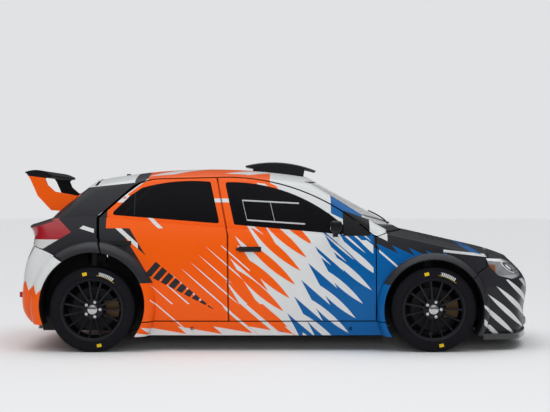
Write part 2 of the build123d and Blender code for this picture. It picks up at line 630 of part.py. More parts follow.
def roof_scoop():
    """Roof vent: a long lid over an open mouth, its front and rear edges standing clear of the roof."""
    profile = make_face([
        ThreePointArc((-250.0, 1430.0), (40.0, 1455.0), (325.0, 1388.0)),
        Polyline((325.0, 1388.0), (320.0, 1378.0), (232.0, 1400.0), (215.0, 1300.0), (-190.0, 1300.0),
                 (-190.0, 1404.0), (-250.0, 1416.0), (-250.0, 1430.0)),
    ])
    made = side_prism(profile, -150.0, 150.0)
    made = fillet(made.edges().filter_by(lambda e: e.center().Z > 1432.0 and abs(e.center().Y) > 140.0), 9.0)
    return made - block(60.0, 400.0, -132.0, 132.0, 1366.0, 1408.0)


def door_edge_room():
    """What the front door leaves free along its slanted rear edge."""
    outside, inside = -40.0, 120.0
    wedge = outline((-60.0, outside), (DOOR_EDGE_GAP + outside * DOOR_EDGE_SLANT, outside),
                    (DOOR_EDGE_GAP + inside * DOOR_EDGE_SLANT, inside), (-60.0, inside))
    places = []
    for z, half in DOOR_LINE:
        (low_x, low_z), (high_x, high_z) = (DOOR_SPLIT_X, SKIRT_TOP_Z), BELT_SPLIT
        if z > BELT_SPLIT[1]:
            (low_x, low_z), (high_x, high_z) = BELT_SPLIT, ROOF_SPLIT
        places.append(Vector(low_x + (high_x - low_x) * (z - low_z) / (high_z - low_z), -half, z))
    room = None
    for low, high in zip(places, places[1:]):
        run = high - low
        piece = extrude(Plane(low) * wedge, amount=run.length, dir=run.normalized())
        room = piece if room is None else room + piece
    return room


def door_hinges(pivot):
    """Hinge lugs with their pins for one right door, and the room for them in the door."""
    x, y = pivot
    r = DOOR_LUG_R
    lugs, room = None, None
    for z in DOOR_HINGES_Z:
        arm = outline((x - r, y), (x + r, y), (x + r, y + 75.0), (x + 58.0, y + 75.0),
                      (x + 58.0, y + 100.0), (x - r, y + 100.0))
        lug = plan_prism(arm, z - 12.0, z + 12.0)
        lug += tube((x, y, z - 16.0), (x, y, z + 16.0), r)
        lug += tube((x, y, z - 34.0), (x, y, z + 34.0), DOOR_PIN_R)
        space = block(x - 2 * r, x + 62.0, y - DOOR_LUG_ROOM, y + 104.0, z - 22.0, z + 22.0)
        space += tube((x, y, z - 22.0), (x, y, z + 22.0), r + 2.0)
        space += tube((x, y, z - 36.0), (x, y, z + 36.0), DOOR_PIN_R + FIT)
        lugs = lug if lugs is None else lugs + lug
        room = space if room is None else room + space
    return lugs, room


def tailgate_hinges():
    """Hinge lugs of roof and tailgate: at each place a pinned lug on the roof between two ears on the tailgate."""
    x, z = HATCH_PIVOT
    roof, gate = None, None
    for y in (-220.0, 220.0):
        lug = tube((x, y - 10.0, z), (x, y + 10.0, z), HATCH_LUG_R)
        lug += block(x, x + 26.0, y - 10.0, y + 10.0, z - 16.0, z - 2.0)
        lug += tube((x, y - 28.0, z), (x, y + 28.0, z), HATCH_PIN_R)
        ears = None
        for side in (-1.0, 1.0):
            near, far = sorted((y + side * (10.0 + FIT), y + side * 26.0))
            ear = tube((x, near, z), (x, far, z), HATCH_LUG_R)
            ear += block(x - 34.0, x, near, far, z - 16.0, z - 2.0)
            ear -= tube((x, near - 5.0, z), (x, far + 5.0, z), HATCH_PIN_R + FIT)
            ears = ear if ears is None else ears + ear
        roof = lug if roof is None else roof + lug
        gate = ears if gate is None else gate + ears
    return roof, gate


def build():
    outer, inner, shell, glazing = body()
    half_gap = SEAM / 2
    door_gap = DOOR_SEAM / 2
    parts = {}

    # Right side doors and their glass
    right = shell & block(-FAR, FAR, -FAR, 0, -FAR, FAR)
    side_glass = glazing & block(-FAR, FAR, -FAR, -300.0, -FAR, FAR)
    front_area, rear_area = front_door_outline(), rear_door_outline()
    doors = {
        "front_door": (grown(front_area, -door_gap), front_window_outline()),
        "rear_door": (grown(rear_door_outline(C_PILLAR_GAP), -door_gap), rear_window_outline()),
    }
    hinge_lugs = []
    for name, (area, window) in doors.items():
        area = side_prism(area, -FAR, -ROOF_HALF - 2 * SEAM)
        door = right & area
        door = door - door_edge_room() if name == "front_door" else flared(door, area, rear=True)
        door -= side_prism(grown(window, FIT), -FAR, -300.0)
        lug, room = door_hinges(FRONT_DOOR_PIVOT if name == "front_door" else REAR_DOOR_PIVOT)
        hinge_lugs.append(lug)
        parts[name + "_right"] = largest(door - room)
        parts[name + "_glass_right"] = largest(side_glass & side_prism(window, -FAR, -300.0))
    parts["front_door_right"] += mirror_housing() - inner - outer
    openings = side_prism(grown(front_area, door_gap), -FAR, -ROOF_HALF - SEAM)
    openings += side_prism(grown(rear_area, door_gap), -FAR, -ROOF_HALF - SEAM)

    # Other panel areas
    lamp = side_prism(headlamp_outline(), -FAR, -LAMP_INNER_Y)
    lamp_hole = side_prism(grown(headlamp_outline(), FIT), -FAR, -LAMP_INNER_Y + FIT)
    rear_lamp = side_prism(tail_lamp_outline(), -FAR, -TAIL_LAMP_INNER_Y)
    rear_lamp_hole = side_prism(grown(tail_lamp_outline(), FIT), -FAR, -TAIL_LAMP_INNER_Y)
    bonnet = plan_prism(grown(bonnet_outline(BONNET_REAR_GAP), -half_gap), 560.0, 1300.0)
    bonnet_hole = plan_prism(grown(bonnet_outline(), half_gap), 560.0, 1300.0)
    hatch = front_prism(grown(tailgate_outline(), -half_gap), -FAR, HATCH_TOP_X + half_gap - HATCH_TOP_GAP)
    hatch_hole = front_prism(grown(tailgate_outline(), half_gap), -FAR, HATCH_TOP_X + half_gap)
    screen_hole = front_prism(screen_outline(FIT), 100.0, 1300.0)
    fender = side_prism(grown(fender_outline(), -half_gap), -FAR, -450.0)
    fender_hole = side_prism(grown(fender_outline(), half_gap), -FAR, -450.0)
    bumper = side_prism(grown(rear_bumper_outline(), -half_gap), -FAR, FAR)
    bumper_hole = side_prism(grown(rear_bumper_outline(), half_gap), -FAR, FAR)
    skirt_area = block(-1150.0, 950.0, -FAR, 0, -FAR, SKIRT_TOP_Z)
    nose = block(NOSE_PANEL_X, FAR, -FAR, FAR, -FAR, FAR)
    cowl_area = block(500.0, 1200.0, -COWL_HALF, COWL_HALF, 700.0, SCREEN_BASE_Z + 40.0)
    roof_area = block(HATCH_TOP_X + half_gap, 700.0, -ROOF_HALF, ROOF_HALF, 1150.0, FAR)

    # Bonnet, tailgate, screen, roof and cowl
    lid = largest(shell & bonnet)
    hinge_x, hinge_z = BONNET_PIVOT
    for low_y, high_y in ((-FAR, -645.0), (645.0, FAR)):
        lid -= tube((hinge_x, low_y, hinge_z), (hinge_x, high_y, hinge_z), BONNET_PIN_R + FIT)
    parts["bonnet"] = lid
    gate = shell & hatch
    gate -= front_prism(grown(hatch_glass_outline(), FIT), -FAR, HATCH_TOP_X)
    roof_lugs, gate_lugs = tailgate_hinges()
    parts["tailgate"] = largest(gate) + gate_lugs
    parts["rear_window"] = largest(glazing & front_prism(hatch_glass_outline(), -FAR, HATCH_TOP_X))
    parts["windscreen"] = largest(glazing & front_prism(screen_outline(), 100.0, 1300.0))
    parts["roof_panel"] = largest((shell & roof_area) - screen_hole) + roof_lugs
    parts["cowl"] = largest((shell & cowl_area) - screen_hole - bonnet_hole)
    parts["roof_scoop"] = largest(roof_scoop() - outer)
    parts["rear_wing"] = rear_wing() - outer
    parts["rear_wing"] = largest(parts["rear_wing"])

    # Right side frame: pillars, quarter panel and wheel housings
    post_z = SKIRT_TOP_Z - half_gap + FIT
    a_post = block(DOOR_FRONT_X + 14.0, DOOR_FRONT_X + 42.0, -745.0, -655.0, post_z, 945.0) & outer
    a_post_room = block(DOOR_FRONT_X + 8.0, DOOR_FRONT_X + 80.0, -750.0, -650.0, 700.0, 1000.0)
    b_post = outline((DOOR_SPLIT_X - 45.0, post_z), (DOOR_SPLIT_X + 35.0, post_z),
                     (BELT_SPLIT[0] + 30.0, BELT_SPLIT[1]), (ROOF_SPLIT[0] + 25.0, ROOF_SPLIT[1] + 30.0),
                     (ROOF_SPLIT[0] - 35.0, ROOF_SPLIT[1] + 30.0), (BELT_SPLIT[0] - 50.0, BELT_SPLIT[1]))
    clear = cabin(SCREEN_WALL + 8.0, HATCH_WALL + 8.0, CABIN_WALL + 7.0, ROOF_WALL) + block(
        -FAR, FAR, -BODY_HALF + SIDE_WALL + 32.0, 0, 0, 785.0)
    clear -= cabin(SCREEN_WALL + 8.0, HATCH_WALL + 8.0, CABIN_WALL + 60.0, ROOF_WALL + 30.0)
    clear -= block(-FAR, FAR, -690.0, 0, 0, 850.0)
    post = side_prism(b_post, -FAR, -300.0) & clear
    post += block(ROOF_SPLIT[0] - 30.0, ROOF_SPLIT[0] + 20.0, -ROOF_HALF - 6.0, -ROOF_HALF - 0.5, 1230.0, 1335.0)
    frame = right - openings - skirt_area - fender_hole - bumper_hole - hatch_hole - screen_hole
    frame -= bonnet_hole + roof_area + rear_lamp_hole + nose
    frame -= grown_block(cowl_area, FIT)
    ring = rear_flare() & block(-FAR, REAR_AXLE_X + 100.0, -FAR, 0, 600.0, FAR)
    frame += ring - openings - bumper_hole
    frame -= arch(REAR_AXLE_X, REAR_ARCH_R, REAR_ARCH_Z)
    parts["side_frame_right"] = largest(frame + a_post + post + tubs() + hinge_lugs)

    # Fenders, lamps, bumpers and skirts
    front_wing = largest(flared(right & fender, fender) - bonnet_hole - a_post_room - lamp_hole)
    front_wing += tube((hinge_x, -712.0, hinge_z), (hinge_x, -650.0, hinge_z), BONNET_PIN_R)
    front_wing += block(FRONT_AXLE_X - 70.0, FRONT_AXLE_X + 15.0, -735.0, -600.0, TOWER_Z + FIT, TOWER_Z + 14.0)
    parts["front_fender_right"] = front_wing
    parts["headlamp_right"] = largest((right & lamp) - bonnet_hole)
    parts["tail_lamp_right"] = largest((right & rear_lamp) - hatch_hole)
    front = (shell & nose) - fender_hole - left_of(fender_hole) - bonnet_hole - lamp_hole - left_of(lamp_hole)
    front -= block(-FAR, FAR, -FAR, FAR, -FAR, BUMPER_BASE_Z)
    ring = front_flare() & block(NOSE_PANEL_X, FAR, -FAR, 0, BUMPER_BASE_Z, 600.0)
    ring -= fender_hole
    hole = arch(FRONT_AXLE_X, FRONT_ARCH_R)
    front = front + ring + left_of(ring) - hole - left_of(hole)
    mouth = front_prism(grille_outline(), 1500.0, FAR)
    front = largest(front - mouth)
    ring = rear_flare() & bumper
    hole = arch(REAR_AXLE_X, REAR_ARCH_R, REAR_ARCH_Z)
    tail = (shell & bumper) + ring + left_of(ring) - hole - left_of(hole)
    tail = largest(tail - hatch_hole)
    for y in (-300.0, 300.0):
        front += block(BEAM_X + 2.0, 1950.0, y - 50.0, y + 50.0, BEAM_TOP_Z + FIT, BEAM_TOP_Z + 40.0)
        tail += block(-1950.0, -1850.0, y - 50.0, y + 50.0, REAR_FLOOR_Z + FLOOR + FIT, REAR_FLOOR_Z + 55.0)
    parts["front_bumper"] = front
    grille = (lower_body(14.0) - lower_body(34.0)) & front_prism(grown(grille_outline(), -FIT), 1500.0, FAR)
    for z in range(225, 420, 34):
        grille -= block(1500.0, FAR, -430.0, 430.0, z - 9.0, z + 9.0)
    parts["grille"] = largest(grille).moved(Location((-22.0, 0, 0)))
    eye_x, strap_y = TAIL_X + TOW_LOOP_R, -430.0
    strap = block(TAIL_X + 35.0, TAIL_X + 110.0, strap_y - 20.0, strap_y + 20.0, 380.0, 420.0)
    half = 20.0 + FIT
    hole = block(TAIL_X - 50.0, TAIL_X + 120.0, strap_y - half, strap_y + half, 400.0 - half, 400.0 + half)
    hole += Pos(eye_x, strap_y, 400.0) * Cylinder(TOW_LOOP_R + FIT, 40.0 + 2 * FIT)
    parts["rear_bumper"] = tail - hole
    strap += Pos(eye_x, strap_y, 400.0) * Cylinder(TOW_LOOP_R, 40.0)
    parts["tow_strap"] = strap - Pos(eye_x, strap_y, 400.0) * Cylinder(TOW_EYE_R, 60.0)
    skirt_y, skirt_z = -FLOOR_HALF - FIT, SKIRT_TOP_Z - half_gap
    sill = lower_body() & block(-1150.0, 950.0, -FAR, skirt_y, SILL_Z, skirt_z)
    sill += front_flare() & block(0, 950.0, -FAR, skirt_y, SILL_Z, skirt_z)
    sill += rear_flare() & block(-1150.0, 0, -FAR, skirt_y, SILL_Z, skirt_z)
    sill -= arch(FRONT_AXLE_X, FRONT_ARCH_R) + arch(REAR_AXLE_X, REAR_ARCH_R, REAR_ARCH_Z)
    for x in JACK_SOCKETS:
        sill -= tube((x, -FAR, JACK_SOCKET_Z), (x, -BODY_HALF + 85.0, JACK_SOCKET_Z), JACK_SOCKET_R)
    parts["side_skirt_right"] = largest(sill)
    splitter = plan_face(SPLITTER_Z, NOSE_X - 12.0, TAIL_X, BODY_HALF - 22.0, 190.0, 70.0, 62.0, 46.0, 190.0,
                         150.0)
    splitter = extrude(splitter, amount=BUMPER_BASE_Z - FIT - SPLITTER_Z, dir=(0, 0, 1))
    parts["front_splitter"] = splitter & block(1575.0, FAR, -FAR, FAR, 0, BUMPER_BASE_Z - FIT)

    # Everything mirrored to the left
    for name in [n for n in parts if n.endswith("_right")]:
        parts[name.replace("_right", "_left")] = left_of(parts[name])

    # Running gear, engine and cabin fittings
    for end, axle_x in (("front", FRONT_AXLE_X), ("rear", REAR_AXLE_X)):
        for side, side_y in (("right", -TRACK_HALF), ("left", TRACK_HALF)):
            for name, shape in wheel(axle_x, side_y).items():
                parts[f"{end}_{side}_{name}"] = shape
    parts["upright_right"] = upright(FRONT_AXLE_X, True)
    parts["upright_left"] = left_of(parts["upright_right"])
    parts["front_subframe"] = front_carrier()
    parts["rear_subframe"] = rear_carrier()
    parts["floor_pan"] = floor_pan()
    parts["engine"] = block(1000.0, 1420.0, -335.0, 335.0, ENGINE_BASE_Z + FIT, 690.0)
    core = block(1690.0, 1745.0, -385.0, 385.0, 215.0, 590.0)
    parts["radiator"] = core + block(1690.0, 1745.0, -440.0, 440.0, 290.0 + FIT, 330.0)
    parts["exhaust"] = exhaust()
    parts["roll_cage"] = roll_cage()
    parts.update(seats())
    parts["dashboard"] = dashboard()
    return parts


def grown_block(solid, amount):
    box = solid.bounding_box()
    return block(box.min.X - amount, box.max.X + amount, box.min.Y - amount, box.max.Y + amount,
                 box.min.Z - amount, box.max.Z + amount)


def grille_outline():
    return fillet(outline((-470.0, 205.0), (470.0, 205.0), (440.0, 420.0), (-440.0, 420.0)).vertices(), 30.0)


def exhaust():
    z = FLOOR_Z - 30.0 - FIT
    made = tube((800.0, -180.0, z), (-1250.0, -180.0, z), 30.0)
    made += Pos(-1250.0, -180.0, z) * Sphere(30.0)
    made += tube((-1250.0, -180.0, z), (-1880.0, -420.0, z + 40.0), 30.0)
    return made


def main():
    os.makedirs("parts", exist_ok=True)
    for name, shape in build().items():
        export_step(shape, f"parts/{name}.step")


if __name__ == "__main__":
    main()
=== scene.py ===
"""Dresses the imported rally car: paint scheme, glass, wheels, lamps, trim and cabin, on a pale floor."""

import json
import math

import bmesh
import bpy
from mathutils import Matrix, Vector
from mathutils.bvhtree import BVHTree


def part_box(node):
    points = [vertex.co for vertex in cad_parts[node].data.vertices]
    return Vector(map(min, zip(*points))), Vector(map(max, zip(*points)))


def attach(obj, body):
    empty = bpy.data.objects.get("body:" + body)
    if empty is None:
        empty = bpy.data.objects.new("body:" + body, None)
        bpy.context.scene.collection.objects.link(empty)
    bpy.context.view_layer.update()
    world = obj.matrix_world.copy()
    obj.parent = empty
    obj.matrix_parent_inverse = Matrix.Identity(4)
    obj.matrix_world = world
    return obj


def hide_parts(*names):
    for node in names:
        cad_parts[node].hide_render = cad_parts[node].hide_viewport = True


bl_info = {
    "name": "Rally car dresser",
    "version": (1, 0, 0),
    "blender": (4, 5, 0),
    "location": "View3D > Sidebar > Rally car",
    "description": "Paints and fits out the rally car frame",
    "category": "Object",
}

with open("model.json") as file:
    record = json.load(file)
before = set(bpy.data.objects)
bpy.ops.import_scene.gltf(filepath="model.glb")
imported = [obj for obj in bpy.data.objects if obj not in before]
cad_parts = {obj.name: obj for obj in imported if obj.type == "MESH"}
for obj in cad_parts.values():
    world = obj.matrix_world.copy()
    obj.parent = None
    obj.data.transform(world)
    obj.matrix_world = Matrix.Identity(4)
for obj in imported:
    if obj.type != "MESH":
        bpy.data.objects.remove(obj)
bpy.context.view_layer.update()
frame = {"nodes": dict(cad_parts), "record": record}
NODES = frame["nodes"]
BODY_OF = {node: body for body, nodes in frame["record"]["behaviour"]["bodies"].items() for node in nodes}
SIDES = {"right": -1.0, "left": 1.0}
WHEELS = [(end, side) for end in ("front", "rear") for side in SIDES]
PAINTED = [
    "side_frame_right", "side_frame_left", "front_fender_right", "front_fender_left", "bonnet",
    "front_bumper", "rear_bumper", "side_skirt_right", "side_skirt_left", "front_door_right",
    "front_door_left", "rear_door_right", "rear_door_left", "tailgate", "roof_panel", "rear_wing",
]
# Wheel hubs in side view, and the housings' depth and edge measured from them
HUBS = (Vector((1.185, 0.0, 0.320)), Vector((-1.385, 0.0, 0.356)))
HOUSING_DEPTH = 0.373
HOUSING_EDGE = 0.445
SEAT_MIDDLE = 0.370
# Wheel centre cap: radius and distance out along the axle
CAP_PROFILE = (
    (0.0005, 0.064), (0.0005, 0.083), (0.020, 0.083), (0.026, 0.079), (0.036, 0.076), (0.041, 0.068),
    (0.041, 0.0635),
)
# Seat pads: path in side view, half width, thickness and number of stitched channels
PADS = (
    ("base", ((-0.165, 0.337), (-0.05, 0.347), (0.05, 0.356), (0.142, 0.364)), 0.172, 0.036, 4),
    ("back", ((-0.196, 0.368), (-0.236, 0.510), (-0.276, 0.660), (-0.316, 0.805)), 0.165, 0.040, 6),
    ("head", ((-0.325, 0.838), (-0.338, 0.880), (-0.352, 0.925)), 0.130, 0.030, 2),
)
CAMERA_SHIFT = -0.010
LIGHT_AIM = Vector((0.0, 0.0, 0.7))
# Start of the paint scheme's slant in side view, and its fall toward the nose in degrees
SLANT_START = (0.0, 0.60)
SLANT = -41.0
SOCKETS = {
    "roughness": "Roughness", "metallic": "Metallic", "specular": "Specular IOR Level", "alpha": "Alpha",
    "coat": "Coat Weight", "coat_roughness": "Coat Roughness", "sheen": "Sheen Weight",
}


def colour_property(name, description, value):
    return bpy.props.FloatVectorProperty(
        name=name, description=description, subtype="COLOR", size=3, min=0.0, max=1.0, default=value)


class RallyPaintSettings(bpy.types.PropertyGroup):
    """Colours of the paint scheme."""

    orange: colour_property("Orange", "Colour of the rear half", (0.90, 0.112, 0.005))
    white: colour_property("White", "Colour of the slashes", (0.69, 0.70, 0.70))
    blue: colour_property("Blue", "Colour of the front doors and wings", (0.002, 0.108, 0.340))
    grey: colour_property("Dark grey", "Colour of the bonnet and rear quarters", (0.026, 0.026, 0.030))
    black: colour_property("Black", "Colour of mirrors and trim", (0.010, 0.010, 0.011))


class RallyStageSettings(bpy.types.PropertyGroup):
    """Camera and studio sizes."""

    camera_distance: bpy.props.FloatProperty(
        name="Camera distance", description="Camera distance from the car's middle plane",
        unit="LENGTH", default=9.39)
    camera_height: bpy.props.FloatProperty(
        name="Camera height", description="Camera height over the floor", unit="LENGTH", default=1.10)
    lens: bpy.props.FloatProperty(name="Lens", description="Focal length in millimetres", default=74.1)
    floor: colour_property("Floor", "Colour of the floor", (0.80, 0.80, 0.80))
    backdrop: colour_property("Backdrop", "Colour seen behind the car", (0.755, 0.76, 0.775))
    horizon_light: bpy.props.FloatProperty(
        name="Horizon light", description="Strength of the light from level surroundings", default=0.05)
    overhead_light: bpy.props.FloatProperty(
        name="Overhead light", description="Added strength of the light from straight above", default=2.25)


class RallyWheelSettings(bpy.types.PropertyGroup):
    """Sizes of the wheels' own details."""

    nut_circle: bpy.props.FloatProperty(
        name="Nut circle", description="Radius of the circle of wheel nuts", unit="LENGTH", default=0.057)
    nut_size: bpy.props.FloatProperty(
        name="Nut size", description="Radius of one wheel nut", unit="LENGTH", default=0.0125)
    groove_depth: bpy.props.FloatProperty(
        name="Groove depth", description="Depth of the tread grooves", unit="LENGTH", default=0.006)


# Shader helpers


class Shader:
    """Short calls for the nodes of one node tree."""

    def __init__(self, tree):
        self.tree = tree

    def node(self, kind, **values):
        made = self.tree.nodes.new(kind)
        for key, value in values.items():
            setattr(made, key, value)
        return made

    def link(self, value, socket):
        if isinstance(value, bpy.types.NodeSocket):
            self.tree.links.new(value, socket)
        else:
            socket.default_value = value

    def math(self, operation, first, second=0.0):
        made = self.node("ShaderNodeMath", operation=operation)
        for value, socket in zip((first, second), made.inputs):
            self.link(value, socket)
        return made.outputs[0]

    def add(self, first, second):
        return self.math("ADD", first, second)

    def sub(self, first, second):
        return self.math("SUBTRACT", first, second)

    def mul(self, first, second):
        return self.math("MULTIPLY", first, second)

    def div(self, first, second):
        return self.math("DIVIDE", first, second)

    def over(self, value, limit):
        return self.math("GREATER_THAN", value, limit)

    def under(self, value, limit):
        return self.math("LESS_THAN", value, limit)

    def size(self, value):
        return self.math("ABSOLUTE", value)

    def saw(self, value, period=1.0):
        """Share of a period passed at each value, from 0 up to 1."""
        return self.math("FRACT", self.div(value, period))

    def wave(self, value, pitch):
        """Smooth wave between 0 and 1."""
        return self.add(0.5, self.mul(self.math("SINE", self.mul(value, pitch)), 0.5))

    def reach(self, first, second):
        """Length of the two sides' diagonal."""
        return self.math("SQRT", self.add(self.mul(first, first), self.mul(second, second)))

    def both(self, *masks):
        made = masks[0]
        for mask in masks[1:]:
            made = self.mul(made, mask)
        return made

    def either(self, *masks):
        made = masks[0]
        for mask in masks[1:]:
            made = self.math("MAXIMUM", made, mask)
        return made

    def band(self, value, low, high):
        return self.both(self.over(value, low), self.under(value, high))

    def mix(self, mask, base, top):
        made = self.node("ShaderNodeMix", data_type="RGBA")
        self.link(mask, made.inputs[0])
        for colour, socket in ((base, made.inputs[6]), (top, made.inputs[7])):
            self.link(colour if isinstance(colour, bpy.types.NodeSocket) else (*colour, 1.0), socket)
        return made.outputs[2]

    def along(self, x, z, origin, degrees):
        """Distances from a point along a direction in side view and square to it."""
        turn = math.radians(degrees)
        dx, dz = self.sub(x, origin[0]), self.sub(z, origin[1])
        forward = self.add(self.mul(dx, math.cos(turn)), self.mul(dz, math.sin(turn)))
        across = self.sub(self.mul(dz, math.cos(turn)), self.mul(dx, math.sin(turn)))
        return forward, across

    def uneven(self, scale, grain=900.0):
        """Mask and height of the fine unevenness that every finish shares."""
        group = self.node("ShaderNodeGroup", node_tree=surface_group())
        group.inputs["Scale"].default_value = scale
        group.inputs["Grain"].default_value = grain
        return group.outputs["Mask"], group.outputs["Height"]

    def bump(self, height, strength, distance, surface_shader):
        made = self.node("ShaderNodeBump")
        made.inputs["Strength"].default_value = strength
        made.inputs["Distance"].default_value = distance
        self.link(height, made.inputs["Height"])
        self.link(made.outputs[0], surface_shader.inputs["Normal"])


def position(shader):
    """Distances along, across and up the car."""
    split = shader.node("ShaderNodeSeparateXYZ")
    shader.link(shader.node("ShaderNodeTexCoord").outputs["Object"], split.inputs[0])
    return split.outputs[0], split.outputs[1], split.outputs[2]


def group_tree(name, outputs, inputs=()):
    tree = bpy.data.node_groups.new(name, "ShaderNodeTree")
    for kind, label, default in inputs:
        socket = tree.interface.new_socket(label, in_out="INPUT", socket_type=kind)
        socket.default_value = default
    for kind, label in outputs:
        tree.interface.new_socket(label, in_out="OUTPUT", socket_type=kind)
    return tree


def surface_group():
    """Fine unevenness shared by every finish: a mask for colour and roughness, and a height for a bump."""
    found = bpy.data.node_groups.get("fine_surface")
    if found:
        return found
    tree = group_tree(
        "fine_surface", [("NodeSocketFloat", "Mask"), ("NodeSocketFloat", "Height")],
        [("NodeSocketFloat", "Scale", 60.0), ("NodeSocketFloat", "Grain", 900.0)])
    shader = Shader(tree)
    entry = shader.node("NodeGroupInput")
    exit_node = shader.node("NodeGroupOutput")
    coordinates = shader.node("ShaderNodeTexCoord").outputs["Object"]
    for scale, socket, detail in (("Scale", 0, 4.0), ("Grain", 1, 2.0)):
        noise = shader.node("ShaderNodeTexNoise")
        tree.links.new(coordinates, noise.inputs["Vector"])
        tree.links.new(entry.outputs[scale], noise.inputs["Scale"])
        noise.inputs["Detail"].default_value = detail
        tree.links.new(noise.outputs[0], exit_node.inputs[socket])
    return tree


def material(name, **numbers):
    """New material with plain numbers set on its surface shader."""
    made = bpy.data.materials.new(name)
    made.use_nodes = True
    bsdf = made.node_tree.nodes["Principled BSDF"]
    for key, value in numbers.items():
        bsdf.inputs[SOCKETS[key]].default_value = value
    return made, Shader(made.node_tree), bsdf


def finish(name, colour, roughness, metallic=0.0, vary=0.12, bump=0.0, coat=0.0):
    """A plain finish with fine variation of colour and roughness, and optional grain."""
    found = bpy.data.materials.get(name)
    if found:
        return found
    made, shader, bsdf = material(name, metallic=metallic, specular=0.22, coat=coat)
    mask, height = shader.uneven(40.0, 700.0)
    dark = [c * (1.0 - vary) for c in colour]
    light = [min(1.0, c * (1.0 + vary)) for c in colour]
    shader.link(shader.mix(mask, dark, light), bsdf.inputs["Base Color"])
    shader.link(shader.add(roughness - 0.06, shader.mul(mask, 0.12)), bsdf.inputs["Roughness"])
    if bump:
        shader.bump(height, bump, 0.0006, bsdf)
    return made


def moulded_black():
    return finish("moulded_black", (0.014, 0.014, 0.015), 0.45, vary=0.25, bump=0.2)


def nut_steel():
    return finish("nut_steel", (0.60, 0.60, 0.61), 0.26, metallic=1.0, vary=0.1)


